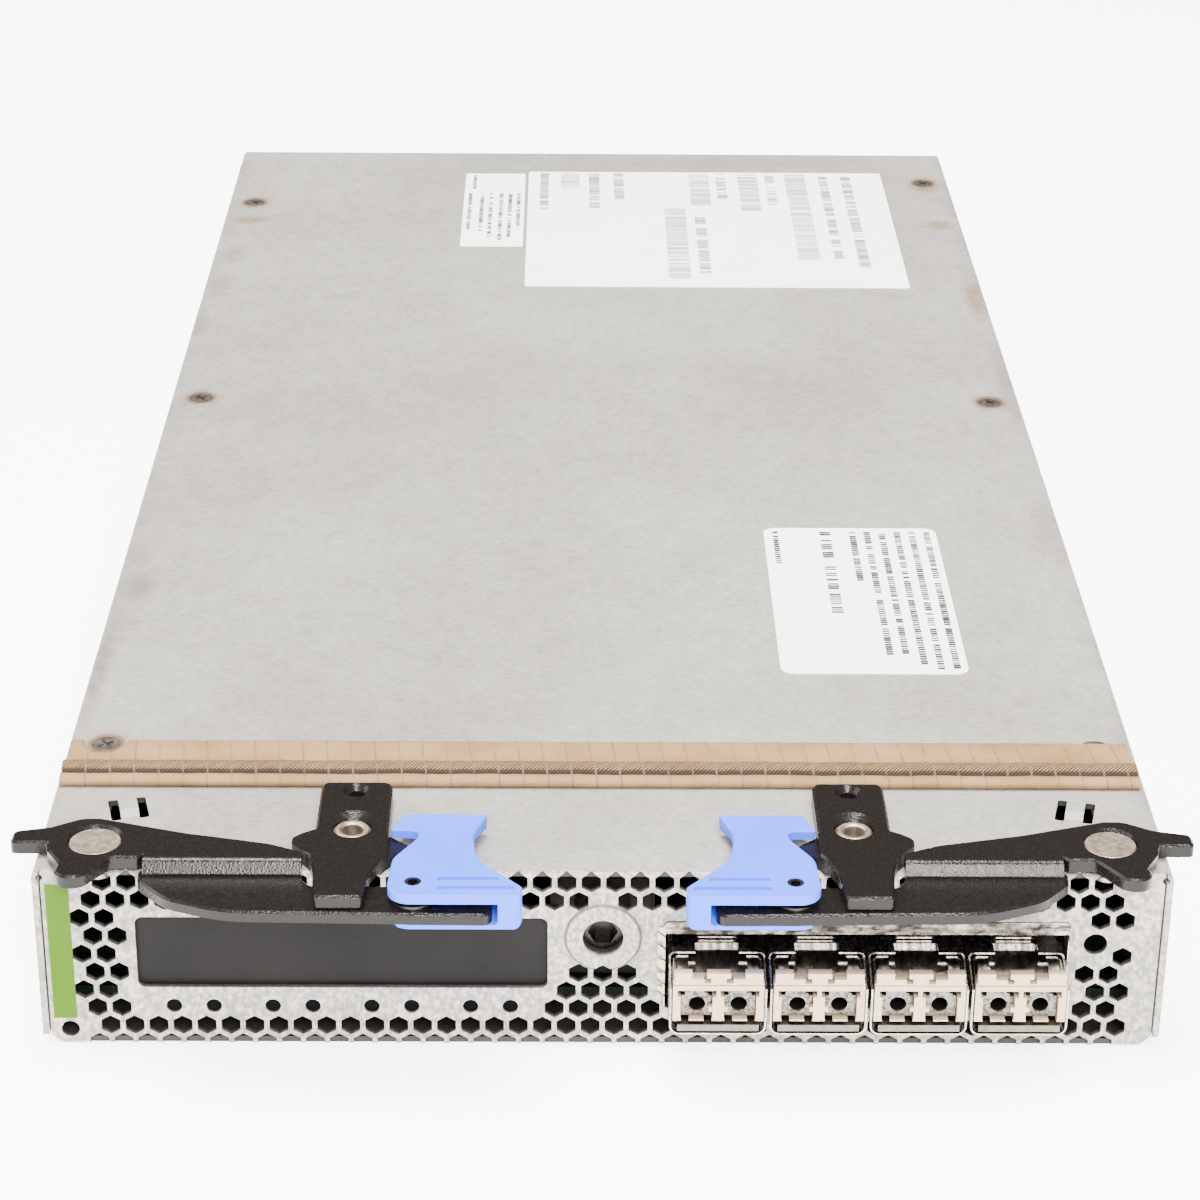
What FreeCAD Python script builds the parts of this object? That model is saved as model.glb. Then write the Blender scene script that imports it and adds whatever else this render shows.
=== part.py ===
import FreeCAD, Part
import math
import os

# Line card for a storage switch: a folded steel case with a perforated front
# panel, four optical transceivers, and two cast ejector levers with sprung
# latches.  Millimetres.  X runs across the card, +Y to the rear, +Z up.  The
# origin is the centre of the underside.

V = FreeCAD.Vector

# --- case
CASE_WIDTH = 170.5
CASE_LENGTH = 343.5
CASE_HEIGHT = 30.5
SHEET = 1.0             # steel thickness
BEND = 1.0              # outer radius of every fold; the inside is folded hard
SEAM = 0.3              # gap between the front panel and each side wall
SIDE_FOOT = 1.9         # height of the side walls' lower edges
LIP = 6.0               # bottom return of the front panel
TRAY_GAP = 0.15         # clearance between the tray and the cover around it
TRAY_FLANGE = 8.0       # inward flange that takes the cover screws

# --- hexagonal vents in the front panel
HEX_PITCH = 3.65
HEX_FLATS = 2.9
HEX_TOP_INSET = 1.57    # top row's centres below the top of the case
HEX_SIDE_INSET = 6.6    # outermost centres from the side of the case
HEX_CORNER = 5.6        # vents stay this far from the upper corner reliefs
HEX_BUSHING = 6.36      # and from the middle of the bushing

# --- front panel openings, (x, z) from the middle of the underside
WINDOW = (-70.3, -8.3, 10.4, 22.8)
WINDOW_RADIUS = 1.2
LED_HEIGHT = 7.1
LED_RADIUS = 1.2
LED_FIRST = -62.0
LED_PAIR_PITCH = 15.0
LED_SPACING = 6.05
PIPE_GAP = 0.15         # light pipe rods in their holes, all round
PORT_COUNT = 4
PORT_FIRST = 17.2       # centre of the first transceiver
BUSHING_HEIGHT = 19.5
SIGHT_HOLE = (74.3, 18.5, 1.8)
CORNER_HOLE = (-81.0, 2.9, 1.4)

# --- circuit board
BOARD_THICKNESS = 1.6
BOARD_TOP = 7.2
BOARD_EDGE = 2.0        # inside the tray's side walls
BOARD_FRONT_GAP = 4.4   # behind the front panel's back face
BOARD_REAR_GAP = 16.0

# --- transceiver cages and transceivers
CAGE_WIDTH = 14.5
CAGE_SPACING = 0.55      # between neighbouring cages
CAGE_HEIGHT = 10.4
CAGE_SHEET = 0.25
CAGE_REACH = 7.6        # how far the cages stand out of the front panel
CAGE_LENGTH = 50.0
CAGE_RADIUS = 1.5
CUTOUT_TOP = 22.4
CUTOUT_SIDE = 0.8       # cut-out beyond the outer cages
CUTOUT_FLOOR = 0.3
COLLAR_STRIP = 0.9      # collar's edge beyond the cut-out, at the left
SLIDE_GAP = 0.2         # transceiver in its cage, each side
FACE_PROUD = 0.4        # transceiver faces in front of the cages
HEAD_DEPTH = 1.3
SOCKET_WIDTH = 4.8
SOCKET_HEIGHT = 5.0
SOCKET_SPACING = 6.5
SOCKET_STEP = 1.1       # height of the wider top of each socket
SOCKET_DEPTH = 12.0
BLOCK_RECESS = 1.3      # grey inserts behind the face
FERRULE_RADIUS = 1.25
FERRULE_SPACING = 6.25
FERRULE_DEPTH = 7.0
CAGE_SHOULDER = 0.9     # outer radius of the cages' upper folds
CAGE_BROW = 3.3         # half width of the opening in each cage's top
TAB_RISE = 1.7
MODULE_LENGTH = 38.0    # of each transceiver behind its cage's front
TAIL_POCKET = 8.0
BAR_HALF = 6.1          # release bar's half width
BAR_LIP = 1.1
BAR_SHEET = 0.35
BAR_LENGTH = 11.0
BAR_RECESS = 7.0        # depth of the opening it moves in
BAR_GAP = 0.1

# --- ejector levers
PIVOT_INSET = 9.15      # pivot from the side of the case
PIVOT_DEPTH = 4.6       # pivot behind the front face
LEVER_LIFT = 0.7        # arm above the top of the case
ARM_THICKNESS = 2.1
BLADE_DROP = 2.3        # blade's top below the arm's top
BLADE_THICKNESS = 1.8
BLADE_DEPTH = 8.0
BLADE_REACH = 12.3      # blade's front edge in front of the panel
BLADE_END = 16.4        # blade's inner end from the middle of the card
ARM_END = 44.9          # arm's inner end from the middle of the card
PIVOT_RADIUS = 2.5
PIVOT_FIT = 0.06        # radial running clearance of the lever's pivot

# --- blue latches on the levers
LATCH_LIFT = 3.6        # latch's top above the top of the case
LATCH_THICKNESS = 1.5
LATCH_LOWER = 0.7       # thickness of the plate under the blade
LATCH_GAP = 0.1         # running gap to the blade and its boss
LATCH_PIN_X = 28.0
LATCH_PIN_REACH = 8.15  # latch pin in front of the panel
PIN_RADIUS = 1.25
PIN_FIT = 0.05

# --- keepers that the latches hook on to
KEEPER_X = 37.9
KEEPER_HEIGHT = 2.8
KEEPER_HALF = 5.5
NOSE_SHIFT = 0.9        # nose further out than the keeper's body
NOSE_HALF = 3.5
NOSE_REACH = 11.15
KEEPER_RIVET_DEPTH = 8.8

# --- gasket and labels
GASKET_FRONT = 25.6     # gasket's front edge behind the front face
GASKET_DEPTH = 14.8
GASKET_HEIGHT = 2.9
LABEL_THICKNESS = 0.12

# --- places that follow from the sizes above
PORT_PITCH = CAGE_WIDTH + CAGE_SPACING
HALF = CASE_WIDTH / 2
FRONT = -CASE_LENGTH / 2
REAR = CASE_LENGTH / 2
TOP = CASE_HEIGHT
PANEL_HALF = HALF - SHEET - SEAM
TRAY_HALF = HALF - SHEET - TRAY_GAP
TRAY_TOP = TOP - SHEET - 0.1
BOARD_BOTTOM = BOARD_TOP - BOARD_THICKNESS
BOARD_FRONT = FRONT + SHEET + BOARD_FRONT_GAP
BOARD_REAR = REAR - BOARD_REAR_GAP
PORTS = [PORT_FIRST + PORT_PITCH * i for i in range(PORT_COUNT)]
LED_PAIRS = [LED_FIRST + LED_PAIR_PITCH * i for i in range(PORT_COUNT)]
CAGE_BOTTOM = BOARD_TOP
CAGE_TOP = CAGE_BOTTOM + CAGE_HEIGHT
CAGE_FRONT = FRONT - CAGE_REACH
FACE = CAGE_FRONT - FACE_PROUD
MODULE_REAR = CAGE_FRONT + MODULE_LENGTH
TAIL_CARD_Z = BOARD_TOP + 2.4
BAR_TOP = CAGE_BOTTOM + 2.2
SOCKET_FLOOR = CAGE_BOTTOM + 3.0
FERRULE_HEIGHT = SOCKET_FLOOR + 1.9
HEAD_TOP = SOCKET_FLOOR + SOCKET_HEIGHT + 1.3
CUTOUT = (PORTS[0] - CAGE_WIDTH / 2 - CUTOUT_SIDE,
          PORTS[-1] + CAGE_WIDTH / 2 + CUTOUT_SIDE,
          CAGE_BOTTOM - CUTOUT_FLOOR, CUTOUT_TOP)
PIVOT_X = -(HALF - PIVOT_INSET)
PIVOT_Y = FRONT + PIVOT_DEPTH
ARM_BOTTOM = TOP + LEVER_LIFT
ARM_TOP = ARM_BOTTOM + ARM_THICKNESS
BLADE_TOP = ARM_TOP - BLADE_DROP
BLADE_BOTTOM = BLADE_TOP - BLADE_THICKNESS
BLADE_FRONT = FRONT - BLADE_REACH
BLADE_REAR = BLADE_FRONT + BLADE_DEPTH
LATCH_TOP = TOP + LATCH_LIFT
LATCH_UNDER = LATCH_TOP - LATCH_THICKNESS
LATCH_FLOOR = BLADE_BOTTOM - LATCH_GAP
LATCH_PIN_Y = FRONT - LATCH_PIN_REACH
KEEPER_TOP = TOP + KEEPER_HEIGHT
GASKET_Y = FRONT + GASKET_FRONT
SCREW_X = HALF - 6.05
LEFT_SCREWS = (40.1, 185.4, 305.6)      # distances behind the front face
RIGHT_SCREWS = (39.9, 184.9, 322.2)
SCREW_RADIUS = 1.25
SCREW_HEAD = 2.3


def in_plan(a, b):
    return V(a, b, 0)


def in_front(a, b):
    return V(a, 0, b)


def in_side(a, b):
    return V(0, a, b)


def outline(corners, place):
    """Closed wire through (a, b) or (a, b, radius) corners, arcs at the radii."""
    spans = []
    count = len(corners)
    for i, corner in enumerate(corners):
        here = V(corner[0], corner[1], 0)
        radius = corner[2] if len(corner) > 2 else 0
        if radius <= 0:
            spans.append((here, None, here))
            continue
        back = corners[i - 1]
        ahead = corners[(i + 1) % count]
        inward = (V(back[0], back[1], 0) - here).normalize()
        outward = (V(ahead[0], ahead[1], 0) - here).normalize()
        angle = inward.getAngle(outward)
        run = radius / math.tan(angle / 2)
        bisector = (inward + outward).normalize()
        middle = here + bisector * (radius / math.sin(angle / 2) - radius)
        spans.append((here + inward * run, middle, here + outward * run))
    edges = []
    for i, (start, middle, finish) in enumerate(spans):
        last = spans[i - 1][2]
        if last.distanceToPoint(start) > 1e-6:
            edges.append(Part.LineSegment(place(last.x, last.y), place(start.x, start.y)).toShape())
        if middle is not None:
            arc = Part.Arc(place(start.x, start.y), place(middle.x, middle.y), place(finish.x, finish.y))
            edges.append(arc.toShape())
    return Part.Wire(edges)


def slab(corners, z0, z1):
    face = Part.Face(outline(corners, in_plan))
    face.translate(V(0, 0, z0))
    return face.extrude(V(0, 0, z1 - z0))


def front_prism(corners, y0, y1):
    face = Part.Face(outline(corners, in_front))
    face.translate(V(0, y0, 0))
    return face.extrude(V(0, y1 - y0, 0))


def side_prism(corners, x0, x1):
    face = Part.Face(outline(corners, in_side))
    face.translate(V(x0, 0, 0))
    return face.extrude(V(x1 - x0, 0, 0))


def block(x0, x1, y0, y1, z0, z1):
    return Part.makeBox(x1 - x0, y1 - y0, z1 - z0, V(x0, y0, z0))


def rectangle(x0, x1, y0, y1, radius=0):
    return [(x0, y0, radius), (x1, y0, radius), (x1, y1, radius), (x0, y1, radius)]


def post(x, y, z0, z1, radius):
    return Part.makeCylinder(radius, z1 - z0, V(x, y, z0))


def spindle(x, z, y0, y1, radius):
    return Part.makeCylinder(radius, y1 - y0, V(x, y0, z), V(0, 1, 0))


def turned(profile, x, y):
    """Solid of revolution of an (r, z) profile about the upright line at x, y."""
    body = Part.Face(outline(profile, in_front)).revolve(V(0, 0, 0), V(0, 0, 1), 360)
    body.translate(V(x, y, 0))
    return body


def turned_along(profile, x, z):
    """Solid of revolution of an (r, y) profile about the fore and aft line at x, z."""
    body = Part.Face(outline(profile, in_plan)).revolve(V(0, 0, 0), V(0, 1, 0), 360)
    body.translate(V(x, 0, z))
    return body


def mirrored(shape):
    return shape.mirror(V(0, 0, 0), V(1, 0, 0))


def one(shape):
    """The single clean solid of a boolean result."""
    tidy = shape.removeSplitter()
    return tidy.Solids[0] if len(tidy.Solids) == 1 else tidy


def edges_at(shape, z):
    """Edges that lie wholly at height z."""
    boxes = [(edge, edge.BoundBox) for edge in shape.Edges]
    return [edge for edge, box in boxes if abs(box.ZMin - z) < 1e-4 and abs(box.ZMax - z) < 1e-4]


# ---------------------------------------------------------------- the case

def hexagon(x, z):
    reach = HEX_FLATS / math.sqrt(3)
    turns = [math.radians(30 + 60 * i) for i in range(6)]
    corners = [(x + reach * math.cos(t), z + reach * math.sin(t)) for t in turns]
    depth = SHEET if z < reach else SHEET + 0.7
    return front_prism(corners, FRONT - 1, FRONT + depth)


def vent_sites():
    """Centres of the vents: a hexagonal lattice less what the panel carries."""
    reach = HEX_FLATS / math.sqrt(3)
    x0, x1, z0, _ = WINDOW
    c0, c1, _, d1 = CUTOUT
    led_rail = (x0, x1 - SHEET, LED_HEIGHT - 1.6, z0)
    spring_rail = (c0 - 1.1, c1, z0 - 0.9, d1 + 1.1)
    rectangles = [WINDOW, CUTOUT, led_rail, spring_rail]
    rounds = [(0, BUSHING_HEIGHT, HEX_BUSHING), SIGHT_HOLE[:2] + (3.6,), CORNER_HOLE[:2] + (3.0,)]
    rounds += [(side * PANEL_HALF, TOP - 0.6, HEX_CORNER) for side in (-1, 1)]
    limit = HALF - HEX_SIDE_INSET
    sites = []
    row = 0
    z = TOP - HEX_TOP_INSET
    while z > 0:
        shift = 0.5 if row % 2 == 0 else 0.0
        columns = int(limit / HEX_PITCH) + 1
        for column in range(-columns, columns + 1):
            x = (column + shift) * HEX_PITCH
            if abs(x) > limit:
                continue
            if any(a - HEX_FLATS / 2 < x < b + HEX_FLATS / 2 and c - reach < z < d + reach
                   for a, b, c, d in rectangles):
                continue
            if any(math.hypot(x - a, z - b) < r for a, b, r in rounds):
                continue
            sites.append((x, z))
        row += 1
        z = TOP - HEX_TOP_INSET - row * HEX_PITCH * math.sqrt(3) / 2
    return sites


def front_panel():
    fold = FRONT + BEND + 0.5
    profile = [(FRONT + LIP, 0), (FRONT, 0, BEND), (FRONT, TOP, BEND), (fold, TOP),
               (fold, TOP - SHEET), (FRONT + SHEET, TOP - SHEET),
               (FRONT + SHEET, SHEET), (FRONT + LIP, SHEET)]
    panel = side_prism(profile, -PANEL_HALF, PANEL_HALF)
    cuts = [hexagon(x, z) for x, z in vent_sites()]
    y0 = FRONT - 1
    y1 = FRONT + SHEET + 1
    x0, x1, z0, z1 = WINDOW
    cuts.append(front_prism(rectangle(x0, x1, z0, z1, WINDOW_RADIUS), y0, y1))
    x0, x1, z0, z1 = CUTOUT
    cuts.append(front_prism(rectangle(x0, x1, z0, z1, 0.8), y0, y1))
    cuts.append(spindle(0, BUSHING_HEIGHT, y0, y1, BUSHING_BARREL + 0.05))
    for x, z, radius in (SIGHT_HOLE, CORNER_HOLE):
        cuts.append(spindle(x, z, y0, y1, radius))
    for middle in LED_PAIRS:
        for side in (-1, 1):
            cuts.append(spindle(middle + side * LED_SPACING / 2, LED_HEIGHT, y0, y1, LED_RADIUS))
    for side in (-1, 1):
        edge = side * (PANEL_HALF + 0.1)
        corner = [(edge, -0.1), (side * (PANEL_HALF - 2.3), -0.1), (edge, 2.1)]
        cuts.append(front_prism(corner, y0, FRONT + LIP + 1))
    return panel.cut(Part.makeCompound(cuts))


LANCE_WIDTH = 5.8
LANCE_LENGTH = 6.4
LANCE_STRAP = 2.8
LANCE_RISE = 0.9
LANCE_TURN = 13
LANCE_INSET = 12.2      # from the side of the case
LANCE_DEPTH = 19.2      # behind the front face


def lance(side):
    """Opening and raised strap of one lanced bridge in the top of the cover."""
    under = TOP - SHEET
    reach = LANCE_LENGTH / 2
    opening = slab(rectangle(-LANCE_WIDTH / 2, LANCE_WIDTH / 2, -reach, reach, 0.4), under - 1, TOP + 1)
    high = TOP + LANCE_RISE
    path = [(-reach - 0.4, under), (-reach + 0.8, under, 0.5), (-reach + 1.7, high - SHEET, 0.5),
            (reach - 1.7, high - SHEET, 0.5), (reach - 0.8, under, 0.5), (reach + 0.4, under),
            (reach + 0.4, TOP), (reach - 0.7, TOP, 0.5), (reach - 1.6, high, 0.5),
            (-reach + 1.6, high, 0.5), (-reach + 0.7, TOP, 0.5), (-reach - 0.4, TOP)]
    strap = side_prism(path, -LANCE_STRAP / 2, LANCE_STRAP / 2)
    for shape in (opening, strap):
        shape.rotate(V(0, 0, 0), V(0, 0, 1), -side * LANCE_TURN)
        shape.translate(V(side * (HALF - LANCE_INSET), FRONT + LANCE_DEPTH, 0))
    return opening, strap


def cover_screw_places():
    left = [(-SCREW_X, FRONT + depth) for depth in LEFT_SCREWS]
    right = [(SCREW_X, FRONT + depth) for depth in RIGHT_SCREWS]
    return left + right


def top_cover():
    wall = HALF - SHEET
    profile = [(-HALF, SIDE_FOOT), (-HALF, TOP, BEND), (HALF, TOP, BEND), (HALF, SIDE_FOOT),
               (wall, SIDE_FOOT), (wall, TOP - SHEET), (-wall, TOP - SHEET), (-wall, SIDE_FOOT)]
    shell = front_prism(profile, FRONT, REAR)
    doorway = block(-PANEL_HALF - SEAM, PANEL_HALF + SEAM, FRONT - 1, FRONT + BEND, 0, TOP + 1)
    shell = shell.cut(doorway).fuse(front_panel())
    cuts = []
    straps = []
    for side in (-1, 1):
        cuts.append(spindle(side * (PANEL_HALF + SEAM / 2), TOP - 1.0, FRONT - 1, FRONT + 1.6, 0.55))
        cuts.append(post(-side * PIVOT_X, PIVOT_Y, TOP - 2, TOP + 1, PIVOT_RADIUS))
        cuts.append(post(side * KEEPER_X, FRONT + KEEPER_RIVET_DEPTH, TOP - 2, TOP + 1, EYELET_RADIUS))
        opening, strap = lance(side)
        cuts.append(opening)
        straps.append(strap)
    for x, y in cover_screw_places():
        cone = Part.makeCone(SCREW_RADIUS + 0.05, SCREW_HEAD + 0.05, SHEET, V(x, y, TOP - SHEET))
        cuts.append(cone)
    return one(shell.cut(Part.makeCompound(cuts)).fuse(straps))


CONNECTOR_X = -34.0
CONNECTOR_WIDTH = 74.0
POWER_X = 34.0
POWER_WIDTH = 26.0
GUIDE_X = 62.0
GUIDE_RADIUS = 3.0
GUIDE_SIZE = 12.0
GUIDE_LENGTH = 14.0
GUIDE_PROUD = 0.6       # socket's face behind the rear wall
GUIDE_FACE = REAR + GUIDE_PROUD
CONNECTOR_HEIGHT = 16.0
REAR_WINDOW_GAP = 0.5


def rear_windows():
    """Openings of the rear wall, (x0, x1, z0, z1)."""
    gap = REAR_WINDOW_GAP
    high = BOARD_TOP + CONNECTOR_HEIGHT
    guide = GUIDE_SIZE / 2
    return [(CONNECTOR_X - CONNECTOR_WIDTH / 2 - gap, CONNECTOR_X + CONNECTOR_WIDTH / 2 + gap,
             BOARD_TOP - gap, high + gap),
            (POWER_X - POWER_WIDTH / 2 - gap, POWER_X + POWER_WIDTH / 2 + gap,
             BOARD_TOP - gap, high - 3 + gap),
            (GUIDE_X - guide - gap, GUIDE_X + guide + gap, BOARD_TOP - gap, BOARD_TOP + GUIDE_SIZE + gap)]


def bottom_tray():
    wall = TRAY_HALF - SHEET
    flange = TRAY_HALF - TRAY_FLANGE
    profile = [(-TRAY_HALF, 0, BEND), (-TRAY_HALF, TRAY_TOP, BEND), (-flange, TRAY_TOP),
               (-flange, TRAY_TOP - SHEET), (-wall, TRAY_TOP - SHEET), (-wall, SHEET),
               (wall, SHEET), (wall, TRAY_TOP - SHEET), (flange, TRAY_TOP - SHEET),
               (flange, TRAY_TOP), (TRAY_HALF, TRAY_TOP, BEND), (TRAY_HALF, 0, BEND)]
    front = FRONT + SHEET + 0.25
    channel = front_prism(profile, front, REAR)
    floor_start = FRONT + LIP + 0.1
    flange_start = FRONT + 3 * PIVOT_DEPTH
    cuts = [block(-wall, wall, front - 1, floor_start, -1, SHEET + 1)]
    for side in (-1, 1):
        x0, x1 = sorted((side * (flange - 1), side * wall))
        cuts.append(block(x0, x1, front - 1, flange_start, TRAY_TOP - 2 * SHEET, TRAY_TOP + 1))
        x0, x1 = sorted((side * wall, side * (TRAY_HALF + 1)))
        cuts.append(block(x0, x1, front - 1, flange_start, TRAY_TOP - BEND, TRAY_TOP + 1))
        x0, x1 = sorted((side * (wall - 1), side * (TRAY_HALF + 1)))
        cuts.append(block(x0, x1, front - 1, floor_start, -1, BEND))
    rear_top = TRAY_TOP - SHEET - 0.4
    fold = REAR - 10
    rear = [(fold, 0), (REAR, 0, BEND), (REAR, rear_top), (REAR - SHEET, rear_top),
            (REAR - SHEET, SHEET), (fold, SHEET)]
    channel = channel.cut(Part.makeCompound(cuts))
    channel = channel.cut(block(-wall, wall, fold, REAR + 1, -1, SHEET))
    tray = channel.fuse(side_prism(rear, -wall, wall))
    holes = []
    for x0, x1, z0, z1 in rear_windows():
        holes.append(front_prism(rectangle(x0, x1, z0, z1, 0.8), REAR - 2 * SHEET, REAR + 1))
    for x, y in cover_screw_places():
        holes.append(post(x, y, TRAY_TOP - 2 * SHEET, TRAY_TOP + 1, SCREW_RADIUS))
    return one(tray.cut(Part.makeCompound(holes)))


def cover_screws():
    """Flush countersunk screws with a cross recess, cover to tray flange."""
    head = SHEET
    group = []
    for x, y in cover_screw_places():
        profile = [(0, TRAY_TOP - 3.0), (SCREW_RADIUS, TRAY_TOP - 3.0), (SCREW_RADIUS, TOP - head),
                   (SCREW_HEAD, TOP), (0, TOP)]
        screw = turned(profile, x, y)
        for turn in (35, 125):
            slot = block(-1.3, 1.3, -0.25, 0.25, TOP - 0.6, TOP + 1)
            slot.rotate(V(0, 0, 0), V(0, 0, 1), turn)
            slot.translate(V(x, y, 0))
            screw = screw.cut(slot)
        group.append(screw)
    return Part.makeCompound(group)


# ------------------------------------------------- front panel's own fittings

BUSHING_BARREL = 4.3
BUSHING_FLANGE = 5.9
BUSHING_BORE = 3.1
BUSHING_DEPTH = 9.5
BUSHING_PROUD = 0.35
BUSHING_WEB = 1.3
PANEL_SCREW_HEAD = 3.0
PANEL_SCREW_RADIUS = 2.0
PANEL_SCREW_FIT = 0.08
PANEL_SCREW_SINK = 1.6  # screw head behind the front face
HEX_KEY = 4.0
THREAD_GAP = 0.03
NUT_FLATS = 7.0
NUT_HEIGHT = 3.2
BRACKET_Y = FRONT + BUSHING_DEPTH
BRACKET_HALF = 8.0
BRACKET_FOOT = 14.0


def hexagon_profile(z, flats):
    reach = flats / math.sqrt(3)
    turns = [math.radians(60 * i) for i in range(6)]
    return [(reach * math.cos(t), z + reach * math.sin(t)) for t in turns]


def screw_bushing():
    """Flanged bushing in the panel, counterbored for the panel screw.

    The flange gives way to the vents beside it.
    """
    front = FRONT - BUSHING_PROUD
    back = FRONT + BUSHING_DEPTH
    web = back - BUSHING_WEB
    hole = PANEL_SCREW_RADIUS + PANEL_SCREW_FIT
    profile = [(BUSHING_BORE, front), (BUSHING_FLANGE - 0.3, front), (BUSHING_FLANGE, FRONT - 0.05),
               (BUSHING_FLANGE, FRONT),
               (BUSHING_BARREL, FRONT), (BUSHING_BARREL, back), (hole, back), (hole, web),
               (BUSHING_BORE, web)]
    bushing = turned_along(profile, 0, BUSHING_HEIGHT)
    reach = BUSHING_FLANGE + HEX_FLATS
    beside = [(x, z) for x, z in vent_sites() if math.hypot(x, z - BUSHING_HEIGHT) < reach]
    return one(bushing.cut([hexagon(x, z) for x, z in beside]))


def panel_screw():
    """Sunk socket screw that ties the panel to the bracket on the board."""
    head_front = FRONT + PANEL_SCREW_SINK
    seat = FRONT + BUSHING_DEPTH - BUSHING_WEB
    tip = BRACKET_Y + SHEET + NUT_HEIGHT + 1
    profile = [(0, head_front), (PANEL_SCREW_HEAD, head_front), (PANEL_SCREW_HEAD, seat),
               (PANEL_SCREW_RADIUS, seat), (PANEL_SCREW_RADIUS, tip), (0, tip)]
    screw = turned_along(profile, 0, BUSHING_HEIGHT)
    socket = front_prism(hexagon_profile(BUSHING_HEIGHT, HEX_KEY), head_front - 1, head_front + 2.6)
    return one(screw.cut(socket))


def screw_nut():
    front = BRACKET_Y + SHEET
    nut = front_prism(hexagon_profile(BUSHING_HEIGHT, NUT_FLATS), front, front + NUT_HEIGHT)
    bore = spindle(0, BUSHING_HEIGHT, front - 1, front + NUT_HEIGHT + 1, PANEL_SCREW_RADIUS + THREAD_GAP)
    return one(nut.cut(bore))


def panel_bracket():
    """Folded angle from the board up to the panel screw."""
    high = BUSHING_HEIGHT + 6.5
    profile = [(BRACKET_Y, BOARD_TOP), (BRACKET_Y + BRACKET_FOOT, BOARD_TOP),
               (BRACKET_Y + BRACKET_FOOT, BOARD_TOP + SHEET), (BRACKET_Y + SHEET, BOARD_TOP + SHEET),
               (BRACKET_Y + SHEET, high), (BRACKET_Y, high)]
    angle = side_prism(profile, -BRACKET_HALF, BRACKET_HALF)
    hole = spindle(0, BUSHING_HEIGHT, BRACKET_Y - 1, BRACKET_Y + SHEET + 1,
                   PANEL_SCREW_RADIUS + PANEL_SCREW_FIT)
    foot_hole = post(0, bracket_screw_y(), BOARD_TOP - 1, BOARD_TOP + SHEET + 1, BOARD_HOLE)
    return one(angle.cut(hole).cut(foot_hole))


def bracket_screw_y():
    return BRACKET_Y + BRACKET_FOOT - 4.5


def blanking_plate():
    """Moulded blank behind the window: a face with a stiffening rim."""
    x0, x1, z0, z1 = WINDOW
    back = FRONT + SHEET
    face = block(x0 - 1.6, x1 + 1.6, back, back + 1.2, z0 - 1.1, z1 + 1.1)
    rim = block(x0 + 1, x1 - 1, back + 1.0, back + 4, z0 + 1, z1 - 1)
    hollow = block(x0 + 2, x1 - 2, back + 0.9, back + 5, z0 + 2, z1 - 2)
    plate = face.fuse(rim.cut(hollow))
    width = x1 - x0
    for part in (0.25, 0.5, 0.75):
        x = x0 + width * part
        plate = plate.fuse(block(x - 0.5, x + 0.5, back + 1.0, back + 3.2, z0 + 1.5, z1 - 1.5))
    return one(plate)


def light_pipe(middle):
    """Twin clear pipe on the board's front edge, one rod to each panel hole."""
    back = FRONT + SHEET
    nose = back + 2.0
    edge = BOARD_FRONT - 0.1
    low = LED_HEIGHT - LED_RADIUS - 0.3
    high = LED_HEIGHT + LED_RADIUS + 0.4
    x0 = middle - LED_SPACING / 2
    x1 = middle + LED_SPACING / 2
    carrier = side_prism([(nose, low), (edge, low), (edge, BOARD_TOP), (edge + 4, BOARD_TOP),
                          (edge + 4, high), (nose, high)], x0 - 1.6, x1 + 1.6)
    rods = [spindle(x, LED_HEIGHT, back - 0.6, nose + 0.5, LED_RADIUS - PIPE_GAP) for x in (x0, x1)]
    return one(carrier.fuse(rods))


# ------------------------------------------------------- ports and cages

def cage(x):
    """Folded port cage: a thin tube whose top stops at the panel."""
    half = CAGE_WIDTH / 2
    low = CAGE_BOTTOM
    high = CAGE_TOP
    rear = CAGE_FRONT + CAGE_LENGTH
    t = CAGE_SHEET
    outer = [(x - half, low, CAGE_RADIUS), (x + half, low, CAGE_RADIUS),
             (x + half, high, CAGE_SHOULDER), (x - half, high, CAGE_SHOULDER)]
    inner = [(x - half + t, low + t, CAGE_RADIUS - t), (x + half - t, low + t, CAGE_RADIUS - t),
             (x + half - t, high - t, CAGE_SHOULDER - t), (x - half + t, high - t, CAGE_SHOULDER - t)]
    tube = front_prism(outer, CAGE_FRONT, rear).cut(front_prism(inner, CAGE_FRONT - 1, rear + 1))
    brow = FRONT - 1.0
    mouth = [(x - half - 1, CAGE_FRONT - 1), (x + half + 1, CAGE_FRONT - 1), (x + half + 1, brow),
             (x + CAGE_BROW, brow), (x + CAGE_BROW, brow + 4.4, 0.8), (x - CAGE_BROW, brow + 4.4, 0.8),
             (x - CAGE_BROW, brow), (x - half - 1, brow)]
    top_opening = slab(mouth, high - CAGE_SHOULDER, high + 1)
    slope = [(CAGE_FRONT - 1, high - 2.4), (CAGE_FRONT + 1.5, high - 2.4, 1.5), (brow, high - CAGE_SHOULDER),
             (brow, high + 1), (CAGE_FRONT - 1, high + 1)]
    slot = block(x - 5, x + 5, MODULE_REAR - TAIL_POCKET, rear + 1, low - 1, low + 1)
    cuts = [top_opening, side_prism(slope, x - half - 1, x + half + 1), slot]
    return one(tube.cut(Part.makeCompound(cuts)))


def socket_profile(middle, side):
    """Front view of one fibre socket, wider above for the plug's latch."""
    a = middle - side * SOCKET_WIDTH / 2
    b = middle + side * SOCKET_WIDTH / 2
    low = SOCKET_FLOOR
    shelf = low + SOCKET_HEIGHT - SOCKET_STEP
    high = low + SOCKET_HEIGHT
    return [(a, low), (b, low), (b, shelf), (b + side * 0.45, shelf), (b + side * 0.45, high),
            (a - side * 0.55, high), (a - side * 0.55, shelf), (a, shelf)]


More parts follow.
